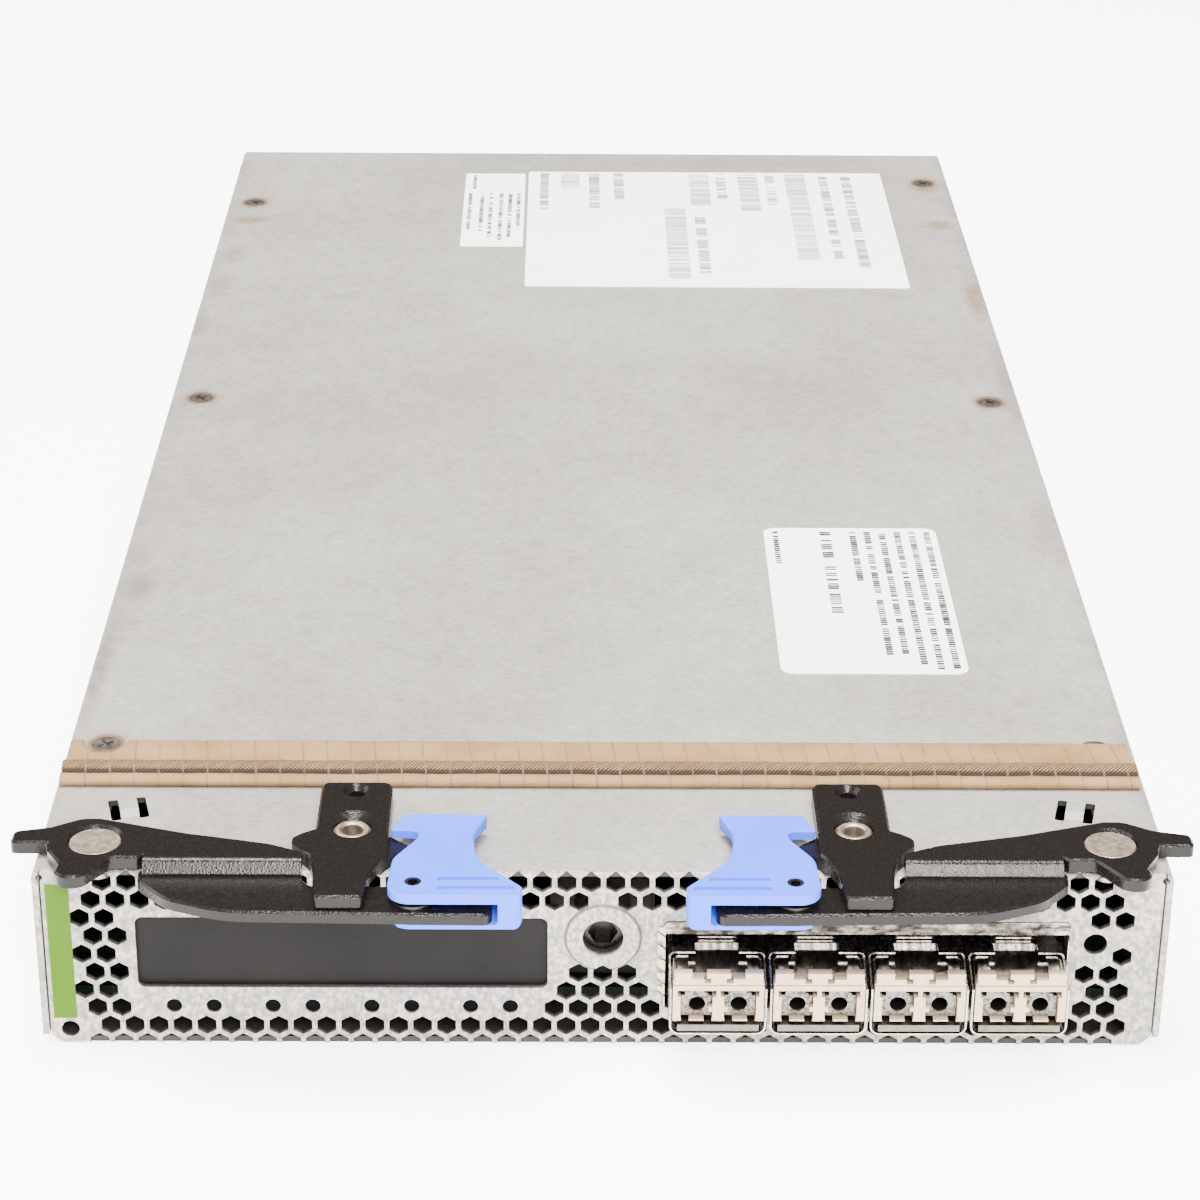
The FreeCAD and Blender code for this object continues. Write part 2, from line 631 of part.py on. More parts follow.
def head_tabs(x):
    """Three tabs that stand along the top of the module's face."""
    low = HEAD_TOP - 0.1
    high = HEAD_TOP + TAB_RISE
    middle = [(x - 1.15, low), (x + 1.15, low), (x + 1.15, high - 0.9), (x + 1.75, high - 0.9),
              (x + 1.75, high), (x - 1.75, high), (x - 1.75, high - 0.9), (x - 1.15, high - 0.9)]
    tabs = [front_prism(middle, FACE, FACE + HEAD_DEPTH)]
    for side in (-1, 1):
        corner = [(x + side * 6.6, low), (x + side * 6.6, high), (x + side * 3.95, high),
                  (x + side * 3.95, high - 1.0), (x + side * 2.2, high - 1.0), (x + side * 2.2, low)]
        tabs.append(front_prism(corner, FACE, FACE + HEAD_DEPTH))
    return tabs


def transceiver(x):
    """Pluggable optical module: die-cast housing with two fibre sockets."""
    half = CAGE_WIDTH / 2 - CAGE_SHEET - SLIDE_GAP
    low = CAGE_BOTTOM + CAGE_SHEET + SLIDE_GAP
    high = CAGE_TOP - CAGE_SHEET - SLIDE_GAP
    rear = MODULE_REAR
    neck = FACE + HEAD_DEPTH
    crown = CAGE_SHOULDER
    body = front_prism([(x - half, low, 1.1), (x + half, low, 1.1), (x + half, high, crown),
                        (x - half, high, crown)], neck, rear)
    head = front_prism([(x - half, low, 1.1), (x + half, low, 1.1), (x + half, HEAD_TOP),
                        (x - half, HEAD_TOP)], FACE, neck)
    body = body.fuse([head] + head_tabs(x))
    cuts = []
    # sunk panel in the top, behind the tabs
    cuts.append(slab(rectangle(x - 4.4, x + 4.4, neck + 0.6, neck + 9, 0.8), high - 0.6, high + 1))
    # groove across the face under the tabs
    cuts.append(block(x - half - 1, x + half + 1, FACE - 1, FACE + 0.2, HEAD_TOP - 0.45, HEAD_TOP - 0.25))
    for side in (-1, 1):
        middle = x + side * SOCKET_SPACING / 2
        cuts.append(front_prism(socket_profile(middle, side), FACE - 1, FACE + SOCKET_DEPTH))
        for offset in (-1.7, 1.7):
            notch = middle + side * offset
            cuts.append(block(notch - 0.6, notch + 0.6, FACE - 1, FACE + 1.6, SOCKET_FLOOR - 0.5,
                              SOCKET_FLOOR + 0.5))
    # open below the sockets, with a slot behind that holds the release bar
    cuts.append(block(x - half - 1, x + half + 1, FACE - 1, FACE + BAR_RECESS, low - 1, SOCKET_FLOOR - 0.3))
    cuts.append(block(x - BAR_HALF - BAR_GAP, x + BAR_HALF + BAR_GAP, FACE, FACE + BAR_LENGTH,
                      BAR_TOP - BAR_SHEET - BAR_GAP, BAR_TOP + BAR_GAP))
    # the tail is open below round the host connector
    cuts.append(block(x - 4.6, x + 4.6, rear - TAIL_POCKET, rear + 1, low - 1, low + 5.5))
    body = body.cut(Part.makeCompound(cuts))
    bump = SOCKET_SPACING / 2 - SOCKET_WIDTH / 2 + 0.55
    keys = block(x - bump, x + bump, FACE + 0.1, FACE + 1.2, SOCKET_FLOOR + 1.3, SOCKET_FLOOR + 2.1)
    card_front = rear - TAIL_POCKET
    card = block(x - 3.6, x + 3.6, card_front - 0.5, card_front + 6.2, TAIL_CARD_Z, TAIL_CARD_Z + 1)
    return one(body.fuse([keys, card]))


def receptacle(x):
    """Grey insert of one module: two guide blocks with a ferrule bore in each."""
    front = FACE + BLOCK_RECESS
    back = FACE + SOCKET_DEPTH
    gap = 0.1
    low = SOCKET_FLOOR + gap
    high = SOCKET_FLOOR + SOCKET_HEIGHT - SOCKET_STEP - gap
    blocks = []
    for side in (-1, 1):
        middle = x + side * SOCKET_SPACING / 2
        ferrule = x + side * FERRULE_SPACING / 2
        reach = SOCKET_WIDTH / 2 - gap
        crown = SOCKET_WIDTH / 2 - 0.7
        shelf = high - 0.4
        section = [(middle - reach, low), (middle + reach, low), (middle + reach, shelf),
                   (middle + crown, shelf), (middle + crown, high + 0.65),
                   (middle - crown, high + 0.65), (middle - crown, shelf), (middle - reach, shelf)]
        body = front_prism(section, front, back)
        keyway = block(middle + crown - 0.5, middle + crown, front - 1, front + 2, high, high + 1)
        bore = spindle(ferrule, FERRULE_HEIGHT, front - 1, front + FERRULE_DEPTH, FERRULE_RADIUS)
        blocks.append(one(body.cut(bore).cut(keyway)))
    return Part.makeCompound(blocks)


def release_bar(x):
    """Folded pull that unlocks the module from its cage."""
    front = FACE - 0.3
    rear = FACE + BAR_LENGTH - BAR_GAP
    under = BAR_TOP - BAR_SHEET
    tongue = [(front, BAR_TOP - BAR_LIP), (front, BAR_TOP), (rear, BAR_TOP), (rear, under),
              (front + BAR_SHEET, under), (front + BAR_SHEET, BAR_TOP - BAR_LIP)]
    return side_prism(tongue, x - BAR_HALF, x + BAR_HALF)


def spring_finger(x, width):
    """Leaf that curls from the collar's top band back and down to a cage."""
    start = FRONT + 0.05
    t = 0.2
    low = CAGE_TOP + 0.15
    band = CUTOUT_TOP - 2.3
    shape = [(start, band + 0.3), (start, band - 0.5, 1.6), (start + 3.4, low + 0.9, 1.4),
             (start + 4.9, low), (start + 5.1, low + t), (start + 3.5, low + 0.9 + t + 0.1, 1.4),
             (start + t, band - 0.4, 1.4), (start + t, band + 0.3)]
    return side_prism(shape, x - width / 2, x + width / 2)


def emi_collar():
    """Sprung shielding frame that lines the port cut-out."""
    x0, x1, z0, z1 = CUTOUT
    t = 0.25
    depth = 4.0
    outer = front_prism(rectangle(x0 + 0.05, x1 - 0.05, z0 - 1, z1 - 0.05, 0.8), FRONT - t, FRONT + depth)
    inner = front_prism(rectangle(x0 + t, x1 - t, z0 - 2, z1 - t, 0.5), FRONT - 1, FRONT + depth + 1)
    cap = block(x0 - 1, x1 + 1, FRONT - 1, FRONT + depth + 1, z0 - 2, z0 + 0.4)
    frame = outer.cut(inner).cut(cap)
    band_top = z1 - t / 2
    band = block(x0 + t / 2, x1 - t / 2, FRONT + 0.05, FRONT + 0.25, z1 - 2.3, band_top)
    edge = x0 - COLLAR_STRIP
    strip = block(edge, x0 + t, FRONT - t, FRONT, z0 + 2.7, z1 - 1)
    slits = []
    for level in range(4):
        z = z0 + 4.6 + level * 2.4
        slit = [(edge - 1, z), (x0 - 0.1, z - 0.7), (x0 - 0.1, z + 0.2), (edge - 1, z + 0.9)]
        slits.append(front_prism(slit, FRONT - 1, FRONT))
    frame = frame.fuse([band, strip.cut(Part.makeCompound(slits))])
    return one(frame.fuse([spring_finger(x, 2 * CAGE_BROW - 0.2) for x in PORTS]))


# --------------------------------------------------------- board and inside

STANDOFF_RADIUS = 2.5      # across flats, halved
BOARD_SCREW_RADIUS = 1.25
BOARD_HOLE = 1.4
CHIP_Y = -40.0
CHIP_X = -18.0
CHIP_SIZE = 35.0
CHIP_HEIGHT = 2.6
SINK_SIZE = 60.0
SINK_HEIGHT = 13.0
SINK_BASE = 3.0
SINK_FINS = 13


def standoff_places():
    x = TRAY_HALF - SHEET - BOARD_EDGE - 6
    ys = (CAGE_FRONT + CAGE_LENGTH + 8, (BOARD_FRONT + BOARD_REAR) / 2, BOARD_REAR - 8)
    return [(side * x, y) for side in (-1, 1) for y in ys]


def circuit_board():
    half = TRAY_HALF - SHEET - BOARD_EDGE
    board = block(-half, half, BOARD_FRONT, BOARD_REAR, BOARD_BOTTOM, BOARD_TOP)
    places = standoff_places() + [(0, bracket_screw_y())]
    holes = [post(x, y, BOARD_BOTTOM - 1, BOARD_TOP + 1, BOARD_HOLE) for x, y in places]
    return one(board.cut(Part.makeCompound(holes)))


def standoffs():
    group = []
    for x, y in standoff_places():
        corners = [(x + a, y + b) for a, b in hexagon_profile(0, 2 * STANDOFF_RADIUS)]
        sleeve = slab(corners, SHEET, BOARD_BOTTOM)
        group.append(sleeve.cut(post(x, y, SHEET - 1, BOARD_BOTTOM + 1, BOARD_SCREW_RADIUS)))
    return Part.makeCompound(group)


def board_screw(x, y, tip, seat):
    profile = [(0, tip), (BOARD_SCREW_RADIUS, tip), (BOARD_SCREW_RADIUS, seat), (2.3, seat),
               (2.3, seat + 1.4), (0, seat + 1.4)]
    return turned(profile, x, y)


def board_screws():
    """Screws into the standoffs, and one through the panel bracket's foot."""
    group = [board_screw(x, y, SHEET + 0.6, BOARD_TOP) for x, y in standoff_places()]
    group.append(board_screw(0, bracket_screw_y(), BOARD_BOTTOM - 1.5, BOARD_TOP + SHEET))
    return Part.makeCompound(group)


def controller_chip():
    half = CHIP_SIZE / 2
    base = block(CHIP_X - half, CHIP_X + half, CHIP_Y - half, CHIP_Y + half, BOARD_TOP, BOARD_TOP + 1.2)
    inset = half - 4
    lid = block(CHIP_X - inset, CHIP_X + inset, CHIP_Y - inset, CHIP_Y + inset, BOARD_TOP + 1.2,
                BOARD_TOP + CHIP_HEIGHT)
    return one(base.fuse(lid))


def heatsink():
    half = SINK_SIZE / 2
    low = BOARD_TOP + CHIP_HEIGHT
    high = low + SINK_HEIGHT
    profile = [(CHIP_X - half, low)]
    profile.append((CHIP_X + half, low))
    pitch = (SINK_SIZE - 1.2) / (SINK_FINS - 1)
    for i in range(SINK_FINS - 1, -1, -1):
        x = CHIP_X - half + 0.6 + pitch * i
        profile += [(x + 0.6, high), (x - 0.6, high)]
        if i:
            profile += [(x - 0.6, low + SINK_BASE), (x - pitch + 0.6, low + SINK_BASE)]
    return front_prism(profile, CHIP_Y - half, CHIP_Y + half)


def host_connectors():
    """Edge sockets on the board that each module's tail card plugs into."""
    group = []
    for x in PORTS:
        front = MODULE_REAR - TAIL_POCKET + 2
        high = BOARD_TOP + 5.4
        shape = [(front, BOARD_TOP), (front, high), (front + 2.4, high, 0.4), (front + 8.4, high - 1.4, 0.8),
                 (front + 8.4, BOARD_TOP)]
        body = side_prism(shape, x - 4.4, x + 4.4)
        slot = block(x - 3.8, x + 3.8, front - 1, front + 4.5, TAIL_CARD_Z - 0.15, TAIL_CARD_Z + 1.15)
        group.append(body.cut(slot))
    return Part.makeCompound(group)


def backplane_connector():
    """Signal header at the rear edge of the board, with its wafer slots."""
    half = CONNECTOR_WIDTH / 2
    low = BOARD_TOP
    high = low + CONNECTOR_HEIGHT
    front = BOARD_REAR - 6
    body = block(CONNECTOR_X - half, CONNECTOR_X + half, front, REAR, low, high)
    slots = []
    count = 16
    pitch = (CONNECTOR_WIDTH - 4) / count
    for i in range(count):
        x = CONNECTOR_X - half + 2 + pitch * (i + 0.5)
        slots.append(block(x - 1.1, x + 1.1, REAR - 5, REAR + 1, low + 2, high - 2))
    return one(body.cut(Part.makeCompound(slots)))


def power_connector():
    half = POWER_WIDTH / 2
    low = BOARD_TOP
    high = low + CONNECTOR_HEIGHT - 3
    body = block(POWER_X - half, POWER_X + half, BOARD_REAR - 6, REAR, low, high)
    slots = []
    for i in range(4):
        x = POWER_X - half + POWER_WIDTH * (i + 0.5) / 4
        slots.append(block(x - 1.6, x + 1.6, REAR - 8, REAR + 1, low + 2.5, high - 2.5))
    return one(body.cut(Part.makeCompound(slots)))


def guide_socket():
    """Block that takes the chassis guide pin, with a flared mouth."""
    half = GUIDE_SIZE / 2
    middle = BOARD_TOP + half
    body = front_prism(rectangle(GUIDE_X - half, GUIDE_X + half, BOARD_TOP, BOARD_TOP + GUIDE_SIZE),
                       GUIDE_FACE - GUIDE_LENGTH - 4, GUIDE_FACE)
    bore = spindle(GUIDE_X, middle, GUIDE_FACE - GUIDE_LENGTH, GUIDE_FACE + 1, GUIDE_RADIUS)
    mouth = Part.makeCone(GUIDE_RADIUS, GUIDE_RADIUS + 1.5, 2, V(GUIDE_X, GUIDE_FACE - 2, middle),
                          V(0, 1, 0))
    return one(body.cut(bore).cut(mouth))


# ------------------------------------------------------------ ejector levers

RIVET_HEAD = 3.9
RIVET_HEAD_HEIGHT = 1.0
RECESS_DEPTH = 1.15
RECESS_RADIUS = RIVET_HEAD + 0.15
RECESS_SHIFT = 0.8         # the recess flares towards the rear
RIDGE_START = 6.9          # ridge's outer end from the pivot
RIDGE_TOP = FRONT - 0.5    # where the arm's top turns down into the ridge
RIDGE_FOOT = FRONT - 1.9
LEVER_EDGE = 0.35          # bevel of the castings' edges


def lever_arm_plan():
    """Arm, cam tail and thumb lobe, about the pivot, inner end at the right."""
    end = -ARM_END - PIVOT_X
    inside = FRONT + 0.9 - PIVOT_Y
    local = [(-12.7, -0.3, 0.8), (-7.1, -0.3, 0.4), (-6.8, -2.6, 1.8), (-4.6, -6.4, 1.2),
             (-5.6, -10.3, 2.2), (-0.9, -10.4, 2.4), (2.9, -4.6, 1.6), (RIDGE_START, -4.7, 0.5),
             (RIDGE_START + 0.8, inside), (end, inside), (end, -2.7, 0.8), (26.0, -0.35, 6.0),
             (13.0, 2.75, 30.0), (0.0, 6.95, 4.0), (-2.9, 6.9, 4.0), (-7.2, 4.3, 2.0), (-12.7, 3.0, 1.2)]
    return [(PIVOT_X + corner[0], PIVOT_Y + corner[1]) + corner[2:] for corner in local]


def lever_blade_plan():
    """Flat blade in front of the panel, from the ridge to the inner end."""
    start = PIVOT_X + RIDGE_START
    rear = FRONT - 0.4
    end = -BLADE_END
    arm = -ARM_END
    return [(start, rear), (start + 0.2, RIDGE_FOOT - 1.1, 1.5), (start + 4.7, BLADE_FRONT + 4.15, 8.0),
            (start + 13.5, BLADE_FRONT + 0.65, 20.0), (end, BLADE_FRONT - 0.2, 1.6), (end, BLADE_REAR, 1.6),
            (arm + 1.6, BLADE_REAR, 1.4), (arm, RIDGE_FOOT, 0.8), (arm, rear)]


def lever():
    """Left ejector lever, one casting, inner end towards the middle."""
    arm = slab(lever_arm_plan(), ARM_BOTTOM, ARM_TOP)
    rim = [edge for edge in edges_at(arm, ARM_TOP) if edge.BoundBox.YMax < FRONT + 0.5
           or edge.BoundBox.YMin > FRONT + 1.2]
    arm = arm.makeChamfer(LEVER_EDGE, rim)
    blade = slab(lever_blade_plan(), BLADE_BOTTOM, BLADE_TOP)
    front_rim = [edge for edge in edges_at(blade, BLADE_TOP) if edge.BoundBox.YMin < BLADE_FRONT + 0.5]
    blade = blade.makeChamfer(LEVER_EDGE, front_rim)
    back = FRONT - 0.4
    ridge = [(FRONT + 1.6, ARM_BOTTOM), (FRONT + 1.6, ARM_TOP), (RIDGE_TOP, ARM_TOP, 1.2),
             (RIDGE_FOOT, BLADE_TOP + 0.4, 0.4), (RIDGE_FOOT, BLADE_BOTTOM), (back, BLADE_BOTTOM),
             (back, ARM_BOTTOM)]
    rib = side_prism(ridge, PIVOT_X + RIDGE_START + 0.8, -ARM_END)
    boss = post(-LATCH_PIN_X, LATCH_PIN_Y, BLADE_BOTTOM, LATCH_UNDER - LATCH_GAP, 2.6)
    body = arm.fuse([blade, rib, boss])
    floor = ARM_TOP - RECESS_DEPTH
    flare = Part.makeCone(RECESS_RADIUS - 1.0, RECESS_RADIUS + 0.4, RECESS_DEPTH + 0.1,
                          V(PIVOT_X, PIVOT_Y + RECESS_SHIFT, floor + 0.2))
    cuts = [post(PIVOT_X, PIVOT_Y, floor, ARM_TOP + 1, RECESS_RADIUS), flare,
            post(PIVOT_X, PIVOT_Y, ARM_BOTTOM - 1, ARM_TOP + 1, PIVOT_RADIUS + PIVOT_FIT),
            post(-LATCH_PIN_X, LATCH_PIN_Y, BLADE_BOTTOM - 1, LATCH_TOP, PIN_RADIUS + PIN_FIT)]
    return one(body.cut(cuts))


def lever_rivet():
    head_bottom = ARM_TOP - RECESS_DEPTH + 0.05
    head_top = head_bottom + RIVET_HEAD_HEIGHT
    under = TOP - SHEET
    profile = [(0, under - 0.9), (3.5, under - 0.9), (3.5, under), (PIVOT_RADIUS, under),
               (PIVOT_RADIUS, head_bottom), (RIVET_HEAD, head_bottom), (RIVET_HEAD, head_top - 0.15),
               (RIVET_HEAD - 0.15, head_top), (0, head_top)]
    return turned(profile, PIVOT_X, PIVOT_Y)


def lever_washer():
    profile = [(PIVOT_RADIUS, TOP), (4.2, TOP), (4.2, ARM_BOTTOM - 0.05), (PIVOT_RADIUS, ARM_BOTTOM - 0.05)]
    return turned(profile, PIVOT_X, PIVOT_Y)


BEAK_X = 32.05
GROOVE_DEPTH = 0.5


def latch_plan():
    """Plan of the left latch: hooked beak at the left, finger hollow at the right."""
    y = LATCH_PIN_Y
    front = BLADE_FRONT + 0.1
    rear = y + 19.8
    return [(-30.1, rear, 0.4), (-BEAK_X, y + 15.0, 0.3), (-27.6, y + 14.9, 1.2), (-28.0, y + 12.4, 0.7),
            (-31.3, y + 6.7, 5.0), (-31.9, front, 3.4), (-12.0, front, 1.4), (-12.0, y - 1.3, 1.2),
            (-18.8, y + 6.5, 7.0), (-19.6, y + 13.6, 7.0), (-17.5, rear, 0.3)]


def latch():
    """Left latch: a moulded clip round the blade, pivoted on the spring pin."""
    front = BLADE_FRONT + 0.1
    plate = slab(latch_plan(), LATCH_UNDER, LATCH_TOP)
    plate = plate.makeChamfer(0.2, edges_at(plate, LATCH_TOP))
    inner_face = -BLADE_END + 0.9
    floor_bottom = LATCH_FLOOR - LATCH_LOWER
    skin = LATCH_TOP - 0.5
    wrap = [(-33, skin), (-33, LATCH_UNDER), (inner_face, LATCH_UNDER), (inner_face, LATCH_FLOOR, 0.7),
            (-30.9, LATCH_FLOOR), (-30.2, floor_bottom), (-11.9, floor_bottom, 1.3), (-11.9, skin)]
    sides = [corner[:2] + (max(corner[2], 0.3),) for corner in latch_plan()]
    envelope = slab(sides, floor_bottom - 1, LATCH_TOP)
    clip = front_prism(wrap, front - 1, BLADE_REAR - 0.4).common(envelope)
    rear = LATCH_PIN_Y + 19.8
    pad = slab([(-24, LATCH_PIN_Y + 5.0, 1), (-19.9, LATCH_PIN_Y + 6.8, 2), (-20.6, LATCH_PIN_Y + 13.6, 5),
                (-17.5, rear, 0.3), (-24, rear, 1)], LATCH_UNDER - 0.8, LATCH_UNDER + 0.5)
    pad = pad.common(envelope)
    body = plate.fuse([clip, pad])
    cuts = [post(-LATCH_PIN_X, LATCH_PIN_Y, floor_bottom - 1, LATCH_TOP + 1, PIN_RADIUS)]
    for x1, dy in ((-15.4, 0.65), (-13.1, -1.9)):
        y = LATCH_PIN_Y + dy
        groove = rectangle(-24.4, x1, y - 0.6, y + 0.6, 0.5)
        cuts.append(slab(groove, LATCH_TOP - GROOVE_DEPTH, LATCH_TOP + 1))
    return one(body.cut(Part.makeCompound(cuts)))


def latch_pin():
    """Slotted spring pin through the latch and the blade's boss."""
    low = LATCH_FLOOR - LATCH_LOWER
    high = LATCH_TOP - 0.1
    x = -LATCH_PIN_X
    tube = post(x, LATCH_PIN_Y, low, high, PIN_RADIUS).cut(post(x, LATCH_PIN_Y, low - 1, high + 1, 0.75))
    slit = block(x - 0.2, x + 0.2, LATCH_PIN_Y - 2, LATCH_PIN_Y, low - 1, high + 1)
    return one(tube.cut(slit))


SPRING_WIRE = 0.5
SPRING_RADIUS = 3.0


def latch_spring():
    """Open ring of square spring wire round the boss, with two legs."""
    x = -LATCH_PIN_X
    low = BLADE_TOP + 0.06
    high = low + SPRING_WIRE
    ring = post(x, LATCH_PIN_Y, low, high, SPRING_RADIUS + SPRING_WIRE / 2)
    ring = ring.cut(post(x, LATCH_PIN_Y, low - 1, high + 1, SPRING_RADIUS - SPRING_WIRE / 2))
    gap = block(x - 5, x, LATCH_PIN_Y - 0.4, LATCH_PIN_Y + 0.4, low - 1, high + 1)
    return one(ring.cut(gap))


# --------------------------------------------------------------- keepers

EYELET_RADIUS = 2.3
EYELET_BORE = 1.7
EYELET_FLANGE = 2.9
KEEPER_RECESS_DEPTH = 0.9
KEEPER_REAR = 23.0         # keeper's rear edge behind the front face
WING_REACH = 8.9
WING_TOP = LATCH_UNDER - 0.3


def keeper():
    """Left keeper: riveted body, swept wings and a nose over the lever blade."""
    x = -KEEPER_X
    nose = x - NOSE_SHIFT
    rear = FRONT + KEEPER_REAR
    tip = FRONT - NOSE_REACH
    half = KEEPER_HALF
    plan = [(x - half, rear, 1.5), (x - half, FRONT + 8.6, 0.6), (x - WING_REACH, FRONT + 7.1, 1.0),
            (x - WING_REACH, FRONT + 5.2, 0.8), (x - 5.7, FRONT + 0.4, 4.0), (nose - 4.0, FRONT - 5.0, 8.0),
            (nose - NOSE_HALF, tip, 0.6), (nose + NOSE_HALF, tip, 0.6), (nose + 4.0, FRONT - 5.0, 8.0),
            (x + 5.2, FRONT + 0.8, 5.0), (x + WING_REACH + 0.3, FRONT + 5.1, 0.8),
            (x + half, FRONT + 8.0, 0.6), (x + half, rear, 1.5)]
    body = slab(plan, TOP, KEEPER_TOP)
    body = body.makeChamfer(LEVER_EDGE, edges_at(body, KEEPER_TOP))
    inner = x + half + 0.05
    section = [(x - WING_REACH - 1, TOP - 1), (x - WING_REACH - 1, KEEPER_TOP - 1.0),
               (x - half, KEEPER_TOP + 0.05, 4.0), (inner, KEEPER_TOP + 0.05), (inner + 0.1, WING_TOP),
               (x + WING_REACH + 1, WING_TOP - 0.4), (x + WING_REACH + 1, TOP - 1)]
    body = body.common(front_prism(section, tip - 1, rear + 1))
    under = BLADE_TOP + 0.3
    rivet_y = FRONT + KEEPER_RIVET_DEPTH
    seat = KEEPER_TOP - KEEPER_RECESS_DEPTH
    funnel = Part.makeCone(1.3, EYELET_FLANGE + 0.9, KEEPER_RECESS_DEPTH + 0.1,
                           V(x, rivet_y + 1.9, seat + 0.1))
    cuts = [block(x - 12, x + 12, tip - 1, FRONT - 0.3, TOP - 1, under), funnel,
            post(x, rivet_y, seat, KEEPER_TOP, EYELET_FLANGE + 0.1),
            post(x, rivet_y, TOP - 1, KEEPER_TOP, EYELET_RADIUS),
            Part.makeCone(1.4, 2.1, 0.9, V(x, rear - 2.7, KEEPER_TOP - 0.9)),
            post(x, rear - 2.7, KEEPER_TOP - 2.0, KEEPER_TOP, 1.2)]
    return one(body.cut(cuts))


def keeper_rivet():
    """Tubular rivet with rolled flanges, keeper to top cover."""
    seat = KEEPER_TOP - KEEPER_RECESS_DEPTH
    under = TOP - SHEET
    profile = [(EYELET_BORE, under - 0.6), (EYELET_FLANGE, under - 0.6), (EYELET_FLANGE, under),
               (EYELET_RADIUS, under), (EYELET_RADIUS, seat), (EYELET_FLANGE, seat),
               (EYELET_FLANGE, seat + 0.25), (EYELET_FLANGE - 0.45, seat + 0.7),
               (EYELET_BORE + 0.3, seat + 0.7), (EYELET_BORE, seat + 0.4)]
    return turned(profile, -KEEPER_X, FRONT + KEEPER_RIVET_DEPTH)


# ------------------------------------------------------ gasket and labels

def emi_gasket():
    """Fabric-over-foam gasket across the top: a flat flap and two soft rolls."""
    front = GASKET_Y
    rear = GASKET_Y + GASKET_DEPTH
    high = TOP + GASKET_HEIGHT
    roll = rear - 7.0
    profile = [(front, TOP), (front, high, 1.3), (front + 3.9, high, 0.6), (front + 4.3, high - 0.5, 0.3),
               (front + 4.7, high - 0.2, 1.0), (roll, high - 0.4, 1.6), (roll + 1.4, TOP + 0.8, 1.0),
               (rear, TOP + 0.8, 0.3), (rear, TOP)]
    strip = side_prism(profile, -HALF + 0.6, HALF - 1.1)
    x, y = cover_screw_places()[0]
    return one(strip.cut(post(x, y, TOP - 1, high + 1, 3.4)))


def label(x0, x1, y0, y1, radius):
    return slab(rectangle(x0, x1, y0, y1, radius), TOP, TOP + LABEL_THICKNESS)


def label_green():
    strip = rectangle(-HALF + 1.9, -HALF + 5.4, 4.9, 28.4)
    return front_prism(strip, FRONT - LABEL_THICKNESS, FRONT)


def build():
    parts = {
        "top_cover": top_cover(),
        "bottom_tray": bottom_tray(),
        "cover_screws": cover_screws(),
        "screw_bushing": screw_bushing(),
        "panel_screw": panel_screw(),
        "screw_nut": screw_nut(),
        "panel_bracket": panel_bracket(),
        "blanking_plate": blanking_plate(),
        "emi_collar": emi_collar(),
        "circuit_board": circuit_board(),
        "standoffs": standoffs(),
        "board_screws": board_screws(),
        "controller_chip": controller_chip(),
        "heatsink": heatsink(),
        "host_connectors": host_connectors(),
        "backplane_connector": backplane_connector(),
        "power_connector": power_connector(),
        "guide_socket": guide_socket(),
        "emi_gasket": emi_gasket(),
        "label_large": label(-15.2, 69.4, FRONT + 250.2, FRONT + 329.1, 0.8),
        "label_small": label(-30.2, -16.0, FRONT + 275.8, FRONT + 327.4, 0.6),
        "label_notice": label(30.3, 61.9, FRONT + 65.4, FRONT + 123.7, 2.2),
        "label_green": label_green(),
    }
    for i, x in enumerate(PORTS, 1):
        parts["cage_%d" % i] = cage(x)
        parts["transceiver_%d" % i] = transceiver(x)
        parts["receptacle_%d" % i] = receptacle(x)
        parts["release_bar_%d" % i] = release_bar(x)
        parts["light_pipe_%d" % i] = light_pipe(LED_PAIRS[i - 1])
    handed = {"lever": lever(), "lever_rivet": lever_rivet(), "lever_washer": lever_washer(),
              "latch": latch(), "latch_pin": latch_pin(), "latch_spring": latch_spring(),
              "keeper": keeper(), "keeper_rivet": keeper_rivet()}
    for name, shape in handed.items():
        parts[name + "_left"] = shape
        parts[name + "_right"] = mirrored(shape)
    return parts


def main():
    os.makedirs("parts", exist_ok=True)
    parts = build()
    for name, shape in sorted(parts.items()):
        shape.exportStep("parts/%s.step" % name)
        report = (name, len(shape.Solids), shape.Volume, shape.isValid())
        print("%-22s solids %2d  volume %10.1f  valid %s" % report)


main()
